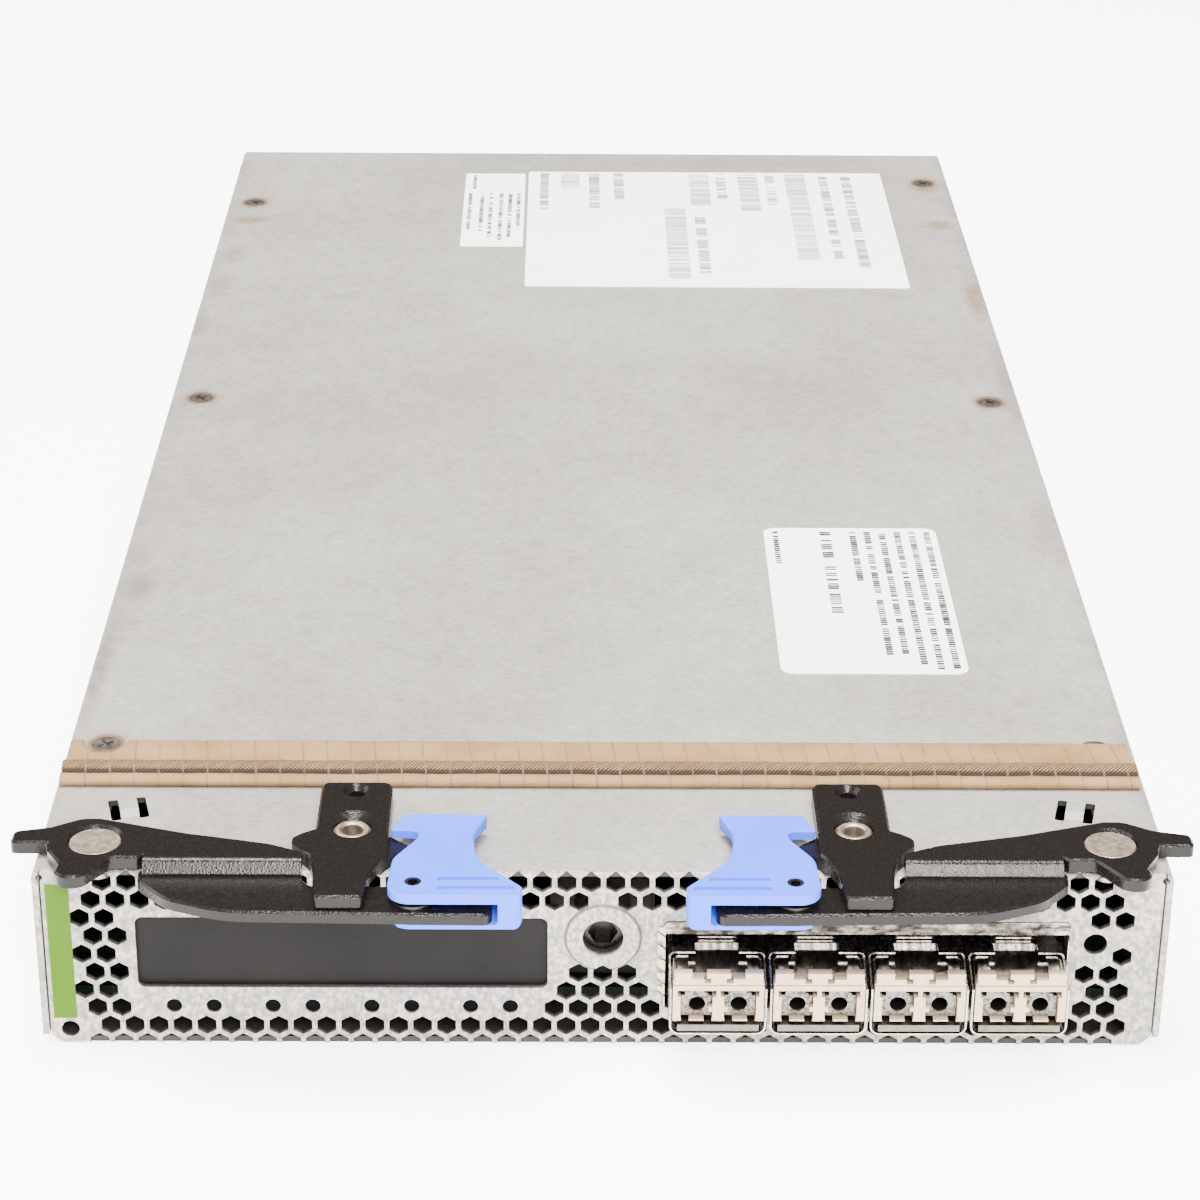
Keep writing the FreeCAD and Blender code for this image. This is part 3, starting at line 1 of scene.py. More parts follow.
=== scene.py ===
import math
import bpy
from mathutils import Euler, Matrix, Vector


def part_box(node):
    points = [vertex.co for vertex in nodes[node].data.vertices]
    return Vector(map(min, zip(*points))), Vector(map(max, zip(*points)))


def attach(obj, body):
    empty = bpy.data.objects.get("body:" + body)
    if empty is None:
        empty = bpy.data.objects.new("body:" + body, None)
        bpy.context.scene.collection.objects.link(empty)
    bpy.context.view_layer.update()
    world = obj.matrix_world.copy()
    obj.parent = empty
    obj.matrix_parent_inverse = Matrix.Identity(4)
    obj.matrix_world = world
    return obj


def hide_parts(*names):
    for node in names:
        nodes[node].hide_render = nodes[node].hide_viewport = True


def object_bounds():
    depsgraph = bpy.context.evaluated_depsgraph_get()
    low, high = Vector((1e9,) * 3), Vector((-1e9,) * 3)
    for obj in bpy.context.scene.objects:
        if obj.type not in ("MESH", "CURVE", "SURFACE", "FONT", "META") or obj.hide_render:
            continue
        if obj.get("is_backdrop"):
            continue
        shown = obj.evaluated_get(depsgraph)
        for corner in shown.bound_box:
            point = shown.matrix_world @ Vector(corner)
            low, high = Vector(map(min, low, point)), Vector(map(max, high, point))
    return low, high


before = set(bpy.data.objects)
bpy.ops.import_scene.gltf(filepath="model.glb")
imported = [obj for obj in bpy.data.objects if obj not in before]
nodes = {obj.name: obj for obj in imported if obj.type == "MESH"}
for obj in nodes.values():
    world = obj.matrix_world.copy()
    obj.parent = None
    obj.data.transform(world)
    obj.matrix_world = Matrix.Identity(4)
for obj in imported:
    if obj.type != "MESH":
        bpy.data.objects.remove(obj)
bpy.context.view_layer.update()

mm = 0.001
coverLow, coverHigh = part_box("top_cover")
panelFace = coverLow.y                       # front face of the perforated panel
caseRear = coverHigh.y
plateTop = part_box("label_large")[0].z        # upper face of the top plate
print("frame loaded:", len(nodes), "nodes")


# node tools for materials

def newMaterial(name, gloss=0.5, **values):
    mat = bpy.data.materials.new(name)
    mat.use_nodes = True
    shader = mat.node_tree.nodes["Principled BSDF"]
    shader.inputs["Specular IOR Level"].default_value = gloss
    for key, value in values.items():
        shader.inputs[key].default_value = value
    return mat, mat.node_tree, shader


def link(tree, source, target):
    tree.links.new(source, target)


def place(tree, scale=(1, 1, 1)):                          # object coordinates, stretched per axis
    coords = tree.nodes.new("ShaderNodeTexCoord")
    mapping = tree.nodes.new("ShaderNodeMapping")
    mapping.inputs["Scale"].default_value = scale
    link(tree, coords.outputs["Object"], mapping.inputs["Vector"])
    return mapping.outputs["Vector"]


def axis(tree, where, letter):
    node = tree.nodes.new("ShaderNodeSeparateXYZ")
    link(tree, where, node.inputs[0])
    return node.outputs[letter]


def facing(tree, letter):                                  # how far the surface faces along one axis
    coords = tree.nodes.new("ShaderNodeTexCoord")
    return axis(tree, coords.outputs["Normal"], letter)


def noise(tree, where, scale, detail=2.0, roughness=0.5):
    node = tree.nodes.new("ShaderNodeTexNoise")
    node.inputs["Scale"].default_value = scale
    node.inputs["Detail"].default_value = detail
    node.inputs["Roughness"].default_value = roughness
    link(tree, where, node.inputs["Vector"])
    return node.outputs["Fac"]


def softCells(tree, where, scale):
    node = tree.nodes.new("ShaderNodeTexVoronoi")
    node.feature = "SMOOTH_F1"
    node.inputs["Scale"].default_value = scale
    link(tree, where, node.inputs["Vector"])
    return node.outputs["Distance"]


def ramp(tree, factor, stops):                             # stops: (position, grey or colour)
    node = tree.nodes.new("ShaderNodeValToRGB")
    elements = node.color_ramp.elements
    while len(elements) < len(stops):
        elements.new(0.5)
    for element, (position, tone) in zip(elements, stops):
        element.position = position
        element.color = (tone, tone, tone, 1) if isinstance(tone, float) else (*tone, 1)
    link(tree, factor, node.inputs["Fac"])
    return node.outputs["Color"]


def span(tree, value, low, high, start=0.0, end=1.0):      # low to high becomes start to end, smoothly
    node = tree.nodes.new("ShaderNodeMapRange")
    node.interpolation_type = "SMOOTHSTEP"
    for name, number in (("From Min", low), ("From Max", high), ("To Min", start), ("To Max", end)):
        node.inputs[name].default_value = number
    link(tree, value, node.inputs["Value"])
    return node.outputs["Result"]


def mix(tree, a, b, factor, kind="MIX"):                   # a, b: colour sockets or colours
    node = tree.nodes.new("ShaderNodeMix")
    node.data_type = "RGBA"
    node.blend_type = kind
    for value, name in ((a, "A"), (b, "B")):
        socket = [s for s in node.inputs if s.name == name and s.type == "RGBA"][0]
        if isinstance(value, tuple):
            socket.default_value = (*value, 1)
        else:
            link(tree, value, socket)
    factorSocket = [s for s in node.inputs if s.name == "Factor" and s.type == "VALUE"][0]
    if isinstance(factor, float):
        factorSocket.default_value = factor
    else:
        link(tree, factor, factorSocket)
    return [s for s in node.outputs if s.type == "RGBA"][0]


def maths(tree, kind, a, b=0.0, c=0.5, clamp=False):
    node = tree.nodes.new("ShaderNodeMath")
    node.operation = kind
    node.use_clamp = clamp
    for socket, value in zip(node.inputs, (a, b, c)):
        if isinstance(value, (int, float)):
            socket.default_value = value
        else:
            link(tree, value, socket)
    return node.outputs[0]


def times(tree, a, b):
    return maths(tree, "MULTIPLY", a, b)


def plus(tree, a, b):
    return maths(tree, "ADD", a, b)


def minus(tree, a, b):
    return maths(tree, "SUBTRACT", a, b)


def over(tree, a, b):
    return maths(tree, "GREATER_THAN", a, b)


def absolute(tree, a):
    return maths(tree, "ABSOLUTE", a)


def fineLine(tree, off, width, share=1.0):                 # share on the line, 0 beside it
    return span(tree, off, width * 0.6, width * 1.4, share, 0.0)


def blot(tree, where, spot, halves, edge):                 # soft oval patch: 1 in the middle, 0 outside
    node = tree.nodes.new("ShaderNodeMapping")
    node.vector_type = "TEXTURE"
    node.inputs["Location"].default_value = spot
    node.inputs["Scale"].default_value = (*halves, 1.0)
    link(tree, where, node.inputs["Vector"])
    far = tree.nodes.new("ShaderNodeVectorMath")
    far.operation = "LENGTH"
    link(tree, node.outputs["Vector"], far.inputs[0])
    return span(tree, far.outputs["Value"], edge, 1.0, 1.0, 0.0)


def bump(tree, shader, height, strength, distance):        # adds to what bump is there already
    node = tree.nodes.new("ShaderNodeBump")
    node.inputs["Strength"].default_value = strength
    node.inputs["Distance"].default_value = distance
    link(tree, height, node.inputs["Height"])
    normal = shader.inputs["Normal"]
    if normal.links:
        link(tree, normal.links[0].from_socket, node.inputs["Normal"])
    link(tree, node.outputs["Normal"], normal)


def dress(mat, names):                                     # gives CAD nodes their finish
    for name in names:
        mesh = nodes[name].data
        mesh.materials.clear()
        mesh.materials.append(mat)


def everyPort(stem):                                       # one name for each of the four ports
    return ["%s_%d" % (stem, port) for port in range(1, 5)]


def newPiece(name, mesh, body="root"):
    piece = bpy.data.objects.new(name, mesh)
    bpy.context.scene.collection.objects.link(piece)
    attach(piece, body)
    return piece


# geometry node tools

def newTree(name, sockets):                                # sockets: (name, kind, default)
    tree = bpy.data.node_groups.new(name, "GeometryNodeTree")
    tree.interface.new_socket("Geometry", in_out="INPUT", socket_type="NodeSocketGeometry")
    for label, kind, default in sockets:
        socket = tree.interface.new_socket(label, in_out="INPUT", socket_type="NodeSocket" + kind)
        if default is not None:
            socket.default_value = default
    tree.interface.new_socket("Geometry", in_out="OUTPUT", socket_type="NodeSocketGeometry")
    return tree, tree.nodes.new("NodeGroupInput").outputs, tree.nodes.new("NodeGroupOutput").inputs


def finishTree(tree, made, finishSocket, outlet):          # real geometry in the chosen finish
    real = tree.nodes.new("GeometryNodeRealizeInstances")
    finish = tree.nodes.new("GeometryNodeSetMaterial")
    link(tree, made, real.inputs[0])
    link(tree, real.outputs[0], finish.inputs["Geometry"])
    link(tree, finishSocket, finish.inputs["Material"])
    link(tree, finish.outputs["Geometry"], outlet["Geometry"])


def grow(tree, mesh, name, **values):                      # runs the tree on a mesh and returns a plain mesh
    worker = bpy.data.objects.new(name, mesh)
    bpy.context.scene.collection.objects.link(worker)
    modifier = worker.modifiers.new(name, "NODES")
    modifier.node_group = tree
    sockets = {s.name.replace(" ", ""): s.identifier for s in tree.interface.items_tree
               if s.item_type == "SOCKET" and s.in_out == "INPUT"}
    for key, value in values.items():
        modifier[sockets[key]] = value
    evaluated = worker.evaluated_get(bpy.context.evaluated_depsgraph_get())
    made = bpy.data.meshes.new_from_object(evaluated)
    worker.modifiers.clear()
    bpy.data.objects.remove(worker)
    made.name = name
    return made


# galvanised case

sheetLook = {"clear": (0.315, 0.302, 0.279), "dull": (0.24, 0.229, 0.212), "shadow": (0.014, 0.0125, 0.011),
             "rust": (0.10, 0.050, 0.022), "stain": (0.17, 0.115, 0.065), "bruise": (0.15, 0.138, 0.125),
             "warm": (0.44, 0.372, 0.31), "cool": (0.15, 0.143, 0.136),
             "metallic": 0.25, "gloss": 0.35, "rough": (0.50, 0.62), "cloud": 14,
             "grain": 1500, "grainStretch": (0.55, 1, 1), "grainBump": (0.10, 0.00006),
             "fleck": 375, "fleckStretch": (0.85, 0.6, 1), "grainShare": 0.7,
             "mottle": 1400, "mottleStretch": (1, 1, 0.8), "mottleBump": (0.12, 0.00008), "mottleShare": 0.9,
             "mottleEdge": (0.0009, 0.0014)}

# where painted shade falls inside the case: depth behind the panel, with the outer faces left bare
insideShadeLook = {"depth": 0.0009, "side": 0.0839, "skin": 0.001, "rearSkin": 0.00095, "topSkin": 0.0001,
              "tilt": 0.1, "share": 0.97}

wearLook = {"ragged": 230, "raggedGain": 1.9, "raggedBase": -0.25, "patchEdge": 0.1,
            "dirt": 60, "dirtEdge": (0.0045, 0.0002), "dirtShare": 0.6,
            "halo": (0.0052, 0.0062), "haloEdge": 0.35, "haloShare": 0.9,
            "rim": (0.0034, 0.0036), "rimEdge": 0.75, "rimShare": 0.75}

# worn places on the top plate: middle (x, y), half sizes, tone, strength; millimetres
wornPlaces = [((79.3, 147.5), (5.5, 6.5), "stain", 1.0), ((80.3, 120.5), (5.5, 5.0), "stain", 1.0),
              ((83.0, 73.0), (3.5, 18.0), "stain", 1.1), ((83.0, -52.0), (6.5, 14.0), "rust", 0.38),
              ((82.7, -40.2), (4.5, 6.0), "rust", 0.3), ((83.5, 20.0), (2.8, 30.0), "bruise", 0.8),
              ((-79.2, 121.4), (6.0, 4.5), "stain", 1.3), ((-80.4, 98.0), (3.2, 10.0), "bruise", 0.9),
              ((-81.6, 78.0), (3.8, 12.0), "bruise", 0.9), ((-83.6, 54.0), (2.8, 9.0), "bruise", 0.8),
              ((-80.9, -74.0), (4.8, 10.0), "bruise", 1.1), ((-82.6, -60.0), (3.5, 8.0), "rust", 0.3),
              ((-81.6, -87.4), (3.5, 7.0), "rust", 0.3), ((-83.9, -104.0), (3.0, 32.0), "bruise", 1.2),
              ((69.0, -116.5), (2.0, 2.8), "bruise", 0.8), ((40.0, 165.0), (60.0, 6.0), "stain", 0.25)]

# cover screws: distance from the side, and distances from the panel's face
screwRows = {"inset": 0.00605, "left": (0.0401, 0.1854, 0.3056), "right": (0.0399, 0.1849, 0.3222)}


def screwPlaces():
    left, right = coverLow.x + screwRows["inset"], coverHigh.x - screwRows["inset"]
    return ([(left, panelFace + d) for d in screwRows["left"]]
            + [(right, panelFace + d) for d in screwRows["right"]])


def sheetTone(tree, where, grain):                         # clouds, short lines across the case, and flecks
    cloud = noise(tree, where, sheetLook["cloud"], 5, 0.62)
    fleck = noise(tree, place(tree, sheetLook["fleckStretch"]), sheetLook["fleck"], 3, 0.7)
    base = ramp(tree, cloud, [(0.36, sheetLook["dull"]), (0.64, sheetLook["clear"])])
    lines = ramp(tree, grain, [(0.3, 0.70), (0.65, 1.05)])
    base = mix(tree, base, lines, sheetLook["grainShare"], "MULTIPLY")
    flecks = ramp(tree, fleck, [(0.3, 0.80), (0.65, 1.03)])
    return mix(tree, base, flecks, sheetLook["grainShare"], "MULTIPLY")


def panelCrystals(tree, base, y, mottled):                 # zinc crystals on the front panel only
    tones = [(0.34, sheetLook["cool"]), (0.5, sheetLook["dull"]), (0.66, sheetLook["warm"])]
    near, far = sheetLook["mottleEdge"]
    onFront = span(tree, y, panelFace + near, panelFace + far, 1.0, 0.0)
    return mix(tree, base, ramp(tree, mottled, tones), times(tree, onFront, sheetLook["mottleShare"]))


def wornPlate(tree, where, base):                          # stains, rust and halos round the screws
    torn = noise(tree, where, wearLook["ragged"], 5, 0.7)
    ragged = maths(tree, "MULTIPLY_ADD", torn, wearLook["raggedGain"], wearLook["raggedBase"], clamp=True)
    for (spotX, spotY), (halfX, halfY), tone, strength in wornPlaces:
        halves = (halfX * mm, halfY * mm)
        patch = blot(tree, where, (spotX * mm, spotY * mm, plateTop), halves, wearLook["patchEdge"])
        base = mix(tree, base, sheetLook[tone], times(tree, times(tree, patch, ragged), strength))
    gasketFront, gasketRear = [corner.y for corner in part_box("emi_gasket")]
    for spotX, spotY in screwPlaces():
        if spotX > 0 and gasketFront < spotY < gasketRear:
            continue                                       # this screw is under the gasket
        spot = (spotX, spotY, plateTop)
        halo = blot(tree, where, spot, wearLook["halo"], wearLook["haloEdge"])
        stained = times(tree, times(tree, halo, ragged), wearLook["haloShare"])
        base = mix(tree, base, sheetLook["stain"], stained)
        rim = blot(tree, where, spot, wearLook["rim"], wearLook["rimEdge"])
        base = mix(tree, base, sheetLook["rust"], times(tree, rim, wearLook["rimShare"]))
    return base


def dirtyEdges(tree, where, base, x):
    inner, outer = wearLook["dirtEdge"]
    edge = span(tree, absolute(tree, x), coverHigh.x - inner, coverHigh.x - outer)
    patchy = ramp(tree, noise(tree, where, wearLook["dirt"], 4, 0.6), [(0.42, 0.0), (0.7, 1.0)])
    dirty = times(tree, edge, patchy)
    return mix(tree, base, sheetLook["bruise"], times(tree, dirty, wearLook["dirtShare"]))


def paintInsideShade(tree, base, x, y, z):                       # painted shade on vent walls and inside faces, darker with depth, not on the outer faces
    inward = maths(tree, "MULTIPLY", minus(tree, y, panelFace), 1 / insideShadeLook["depth"], clamp=True)
    depth = ramp(tree, inward, [(0.08, 0.0), (0.2, 0.72), (0.6, 0.86), (1.0, 1.0)])
    up, down = facing(tree, "Z"), times(tree, facing(tree, "Z"), -1.0)
    onTop = times(tree, over(tree, z, plateTop - insideShadeLook["skin"]), over(tree, up, insideShadeLook["tilt"]))
    low = maths(tree, "LESS_THAN", z, insideShadeLook["skin"])
    below = times(tree, low, over(tree, down, insideShadeLook["tilt"]))
    beside = over(tree, absolute(tree, x), insideShadeLook["side"])
    behind = over(tree, y, caseRear - insideShadeLook["rearSkin"])
    above = over(tree, z, plateTop - insideShadeLook["topSkin"])
    outside = plus(tree, plus(tree, onTop, below), plus(tree, beside, plus(tree, behind, above)))
    inside = times(tree, depth, maths(tree, "SUBTRACT", 1.0, outside, clamp=True))
    return mix(tree, base, sheetLook["shadow"], times(tree, inside, insideShadeLook["share"]))


def galvanisedSheet(name="galvanisedSheet"):
    mat, tree, shader = newMaterial(name, gloss=sheetLook["gloss"], Metallic=sheetLook["metallic"])
    where = place(tree)
    x, y, z = (axis(tree, where, letter) for letter in "XYZ")
    grain = noise(tree, place(tree, sheetLook["grainStretch"]), sheetLook["grain"], 3, 0.65)
    mottled = noise(tree, place(tree, sheetLook["mottleStretch"]), sheetLook["mottle"], 2, 0.55)
    base = sheetTone(tree, where, grain)
    base = panelCrystals(tree, base, y, mottled)
    base = wornPlate(tree, where, base)
    base = dirtyEdges(tree, where, base, x)
    base = paintInsideShade(tree, base, x, y, z)
    link(tree, base, shader.inputs["Base Color"])
    low, high = sheetLook["rough"]
    link(tree, ramp(tree, grain, [(0.3, low), (0.7, high)]), shader.inputs["Roughness"])
    bump(tree, shader, grain, *sheetLook["grainBump"])
    bump(tree, shader, mottled, *sheetLook["mottleBump"])
    return mat


ringLook = {"line": 0.00022, "rim": 0.00025, "share": 0.8, "dark": (0.05, 0.045, 0.04)}


def pressedFlange():                                       # the sheet's finish with a thin dark ring of painted shade just inside the rim
    mat = galvanisedSheet("pressedFlange")
    tree = mat.node_tree
    colour = tree.nodes["Principled BSDF"].inputs["Base Color"]
    low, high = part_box("screw_bushing")
    radius = (high.x - low.x) / 2
    where = place(tree)
    across = axis(tree, where, "X")
    rise = minus(tree, axis(tree, where, "Z"), high.z - radius)
    far = maths(tree, "SQRT", plus(tree, times(tree, across, across), times(tree, rise, rise)))
    off = absolute(tree, minus(tree, far, radius - ringLook["rim"]))
    line = fineLine(tree, off, ringLook["line"], ringLook["share"])
    link(tree, mix(tree, colour.links[0].from_socket, ringLook["dark"], line), colour)
    return mat


# black castings

castingLook = {"black": (0.0040, 0.0031, 0.0027), "high": (0.0080, 0.0064, 0.0056), "gloss": 0.19,
               "rough": (0.17, 0.30), "patches": 900, "wrinkle": 3600, "wrinkleBump": (0.5, 0.00009),
               "grain": 2400, "grainBump": (0.2, 0.00008),
               "nodes": ["lever_left", "lever_right", "keeper_left", "keeper_right"]}


def wrinklePaint():
    mat, tree, shader = newMaterial("wrinklePaint", gloss=castingLook["gloss"])
    where = place(tree)
    grain = noise(tree, where, castingLook["grain"], 3, 0.6)
    wrinkles = softCells(tree, where, castingLook["wrinkle"])
    base = ramp(tree, grain, [(0.42, castingLook["black"]), (0.72, castingLook["high"])])
    link(tree, base, shader.inputs["Base Color"])
    low, high = castingLook["rough"]
    patches = noise(tree, where, castingLook["patches"], 2)
    link(tree, ramp(tree, patches, [(0.35, low), (0.65, high)]), shader.inputs["Roughness"])
    bump(tree, shader, wrinkles, *castingLook["wrinkleBump"])
    bump(tree, shader, grain, *castingLook["grainBump"])
    return mat


# bare metals

# broad and dim set the size and depth of the painted reflection patches
metalLook = {"grain": 900.0, "broad": 100.0, "even": 0.4, "dim": 0.5, "roughSpread": 0.16,
             "bumpDepth": 0.00008}

metals = {
    "dullNickel": {"tone": (0.44, 0.355, 0.285), "dark": (0.33, 0.265, 0.21), "rough": 0.40, "relief": 0.1,
                   "nodes": ["lever_rivet_left", "lever_rivet_right",
                             "keeper_rivet_left", "keeper_rivet_right"]},
    "darkZinc": {"tone": (0.30, 0.27, 0.24), "dark": (0.12, 0.10, 0.085), "rough": 0.32, "relief": 0.1,
                 "nodes": ["cover_screws", "board_screws", "standoffs", "lever_washer_left",
                           "lever_washer_right", "guide_socket", "screw_nut"]},
    "blackOxide": {"tone": (0.030, 0.029, 0.028), "dark": (0.012, 0.011, 0.011), "rough": 0.22, "relief": 0.1,
                   "nodes": ["panel_screw"]},
    "springSteel": {"tone": (0.075, 0.070, 0.068), "dark": (0.03, 0.029, 0.028), "rough": 0.3, "relief": 0.1,
                    "nodes": ["latch_pin_left", "latch_pin_right",
                              "latch_spring_left", "latch_spring_right"]},
    "brightTin": {"tone": (0.52, 0.49, 0.45), "dark": (0.10, 0.085, 0.07), "rough": 0.18, "relief": 0.05,
                  "nodes": everyPort("cage")},
    "handleSteel": {"tone": (0.15, 0.13, 0.11), "dark": (0.05, 0.043, 0.036), "rough": 0.25, "relief": 0.1,
                    "nodes": everyPort("release_bar")},
    "extrudedFins": {"tone": (0.72, 0.72, 0.73), "dark": (0.5, 0.5, 0.52), "rough": 0.35, "relief": 0.1,
                     "nodes": ["heatsink"]},
}


def plainMetal(name, look):
    mat, tree, shader = newMaterial(name, Metallic=1.0)
    where = place(tree)
    fine = noise(tree, where, metalLook["grain"], 4, 0.6)
    broad = noise(tree, where, metalLook["broad"], 2)
    grained = ramp(tree, fine, [(0.3, look["dark"]), (0.65, look["tone"])])
    base = mix(tree, grained, look["tone"], metalLook["even"])
    # painted reflection: broad dark patches stand for dark surroundings mirrored in the metal
    dim = times(tree, ramp(tree, broad, [(0.5, 0.0), (0.8, 1.0)]), metalLook["dim"])
    link(tree, mix(tree, base, look["dark"], dim), shader.inputs["Base Color"])
    rough = [(0.3, look["rough"]), (0.75, look["rough"] + metalLook["roughSpread"])]
    link(tree, ramp(tree, fine, rough), shader.inputs["Roughness"])
    bump(tree, shader, fine, look["relief"], metalLook["bumpDepth"])
    return mat


# distances are from the transceivers' faces
moduleLook = {"cream": (0.50, 0.38, 0.255), "creamDark": (0.34, 0.245, 0.16), "chrome": (0.34, 0.32, 0.30),
              "chromeDark": (0.07, 0.062, 0.056), "recess": (0.13, 0.11, 0.09), "satin": (0.40, 0.385, 0.36),
              "gloss": 0.2, "castGrain": 1300, "castBump": (0.1, 0.00006), "streak": 1600,
              "streakStretch": (1, 0.08, 1), "castEnd": (0.0021, 0.0025), "sunk": (0.0003, 0.0013),
              "shank": (0.011, 0.015), "share": 0.8, "even": 0.5, "metallic": (0.25, 1.0),
              "rough": (0.42, 0.2), "satinMetal": 0.9, "satinRough": 0.3}


def moduleBody():                                          # cream cast face with painted shade in its sunken parts, bright neck with painted reflection streaks, satin shank
    mat, tree, shader = newMaterial("moduleBody", gloss=moduleLook["gloss"])
    where = place(tree)
    y = axis(tree, where, "Y")
    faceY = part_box("transceiver_1")[0].y
    castNear, castFar = [faceY + d for d in moduleLook["castEnd"]]
    sunkNear, sunkFar = [faceY + d for d in moduleLook["sunk"]]
    shankNear, shankFar = [faceY + d for d in moduleLook["shank"]]
    behind = span(tree, y, castNear, castFar)
    sunk = span(tree, y, sunkNear, sunkFar, 0.0, moduleLook["share"])
    shank = span(tree, y, shankNear, shankFar, 0.0, moduleLook["share"])
    fine = noise(tree, where, moduleLook["castGrain"], 4, 0.6)
    streak = noise(tree, place(tree, moduleLook["streakStretch"]), moduleLook["streak"], 3)
    cast = ramp(tree, fine, [(0.3, moduleLook["creamDark"]), (0.62, moduleLook["cream"])])
    cast = mix(tree, cast, moduleLook["cream"], moduleLook["even"])
    # painted shade: the face darkens where it sinks back from the front
    cast = mix(tree, cast, moduleLook["recess"], sunk)
    # painted reflection: streaks along the neck stand for surroundings mirrored in the chrome
    chromeReflections = ramp(tree, streak, [(0.3, moduleLook["chromeDark"]), (0.65, moduleLook["chrome"])])
    base = mix(tree, mix(tree, cast, chromeReflections, behind), moduleLook["satin"], shank)
    link(tree, base, shader.inputs["Base Color"])
    metal = span(tree, behind, 0.0, 1.0, *moduleLook["metallic"])
    link(tree, minus(tree, metal, times(tree, shank, moduleLook["satinMetal"])), shader.inputs["Metallic"])
    rough = span(tree, behind, 0.0, 1.0, *moduleLook["rough"])
    link(tree, plus(tree, rough, times(tree, shank, moduleLook["satinRough"])), shader.inputs["Roughness"])
    bump(tree, shader, fine, *moduleLook["castBump"])
    return mat


collarLook = {"beige": (0.42, 0.34, 0.25), "bright": (0.40, 0.37, 0.34), "brown": (0.045, 0.036, 0.028),
              "gap": (0.05, 0.045, 0.04), "slit": 0.0021, "slitHalf": 0.00018, "slant": 0.8, "strip": 0.0012,
              "metallic": 0.85, "rough": (0.18, 0.34), "fine": 1500, "fineBump": (0.08, 0.00006),
              "leaves": 420, "leafStretch": (1, 1, 2.5)}


def springCollar():                                        # beige strip with slanted slits painted as dark lines of shade, leaves in painted dark and bright reflections
    mat, tree, shader = newMaterial("springCollar", Metallic=collarLook["metallic"])
    where = place(tree)
    x, z = axis(tree, where, "X"), axis(tree, where, "Z")
    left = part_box("emi_collar")[0].x
    onStrip = maths(tree, "LESS_THAN", x, left + collarLook["strip"])
    slant = plus(tree, z, times(tree, x, collarLook["slant"]))
    fromSlit = maths(tree, "PINGPONG", slant, collarLook["slit"] / 2)
    slit = maths(tree, "LESS_THAN", fromSlit, collarLook["slitHalf"])
    fine = noise(tree, where, collarLook["fine"], 3)
    broad = noise(tree, place(tree, collarLook["leafStretch"]), collarLook["leaves"], 2)
    # painted reflection: dark brown and bright patches on the spring leaves
    tinReflections = ramp(tree, broad, [(0.38, collarLook["brown"]), (0.62, collarLook["bright"])])
    # painted shade: the slits are dark lines painted on the strip, not cut through it
    strip = mix(tree, collarLook["beige"], collarLook["gap"], slit)
    link(tree, mix(tree, tinReflections, strip, onStrip), shader.inputs["Base Color"])
    low, high = collarLook["rough"]
    link(tree, ramp(tree, fine, [(0.3, low), (0.7, high)]), shader.inputs["Roughness"])
    bump(tree, shader, fine, *collarLook["fineBump"])
    return mat


insertLook = {"light": (0.21, 0.19, 0.165), "dark": (0.03, 0.027, 0.024), "bottom": (0.006, 0.006, 0.006),
              "metallic": 0.5, "rough": 0.42, "speck": 2200, "speckBump": (0.3, 0.0001),
              "bore": (0.0001, 0.0006)}


def speckledInsert():                                      # dull speckled metal round dark bores, their dark painted as shade growing with depth
    mat, tree, shader = newMaterial("speckledInsert", Metallic=insertLook["metallic"],
                                    Roughness=insertLook["rough"])
    where = place(tree)
    speck = noise(tree, where, insertLook["speck"], 3, 0.7)
    specks = ramp(tree, speck, [(0.40, insertLook["dark"]), (0.56, insertLook["light"])])
    near, far = [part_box("receptacle_1")[0].y + d for d in insertLook["bore"]]
    # painted shade: darker the deeper into the bore
    deepShade = span(tree, axis(tree, where, "Y"), near, far)
    link(tree, mix(tree, specks, insertLook["bottom"], deepShade), shader.inputs["Base Color"])
    bump(tree, shader, speck, *insertLook["speckBump"])
    return mat


# plastics and board

plasticLook = {"grain": 2200.0, "grainShare": 0.5, "clouds": 70, "roughSpread": 0.12, "bump": (0.15, 0.0001)}

plastics = {
    "latchBlue": {"tone": (0.048, 0.118, 0.80), "shade": (0.042, 0.105, 0.76), "rough": 0.45, "gloss": 0.18,
                  "nodes": ["latch_left", "latch_right"]},
    "blankBlack": {"tone": (0.006, 0.0056, 0.0054), "shade": (0.0045, 0.0043, 0.0042), "rough": 0.35,
                   "gloss": 0.07, "nodes": ["blanking_plate"]},
    # smoked plastic darkened to near black as painted shade for the LED holes
    "smokedPipeHoleShade": {"tone": (0.001, 0.001, 0.0011), "shade": (0.0008, 0.0008, 0.0008), "rough": 0.3,
                   "gloss": 0.02, "nodes": everyPort("light_pipe")},
    "chipBlack": {"tone": (0.03, 0.03, 0.032), "shade": (0.02, 0.02, 0.022), "rough": 0.4, "gloss": 0.5,
                  "nodes": ["controller_chip"]},
    "headerBlack": {"tone": (0.02, 0.02, 0.021), "shade": (0.014, 0.014, 0.015), "rough": 0.45, "gloss": 0.5,
                    "nodes": ["host_connectors", "backplane_connector", "power_connector"]},
}


def mouldedPlastic(name, look):
    mat, tree, shader = newMaterial(name, gloss=look["gloss"])
    where = place(tree)
    fine = noise(tree, where, plasticLook["grain"], 3)
    broad = noise(tree, where, plasticLook["clouds"], 3)
    base = ramp(tree, broad, [(0.35, look["shade"]), (0.6, look["tone"])])
    base = mix(tree, base, ramp(tree, fine, [(0.3, 0.9), (0.7, 1.0)]), plasticLook["grainShare"], "MULTIPLY")
    link(tree, base, shader.inputs["Base Color"])
    rough = [(0.3, look["rough"]), (0.7, look["rough"] + plasticLook["roughSpread"])]
    link(tree, ramp(tree, fine, rough), shader.inputs["Roughness"])
    bump(tree, shader, fine, *plasticLook["bump"])
    return mat


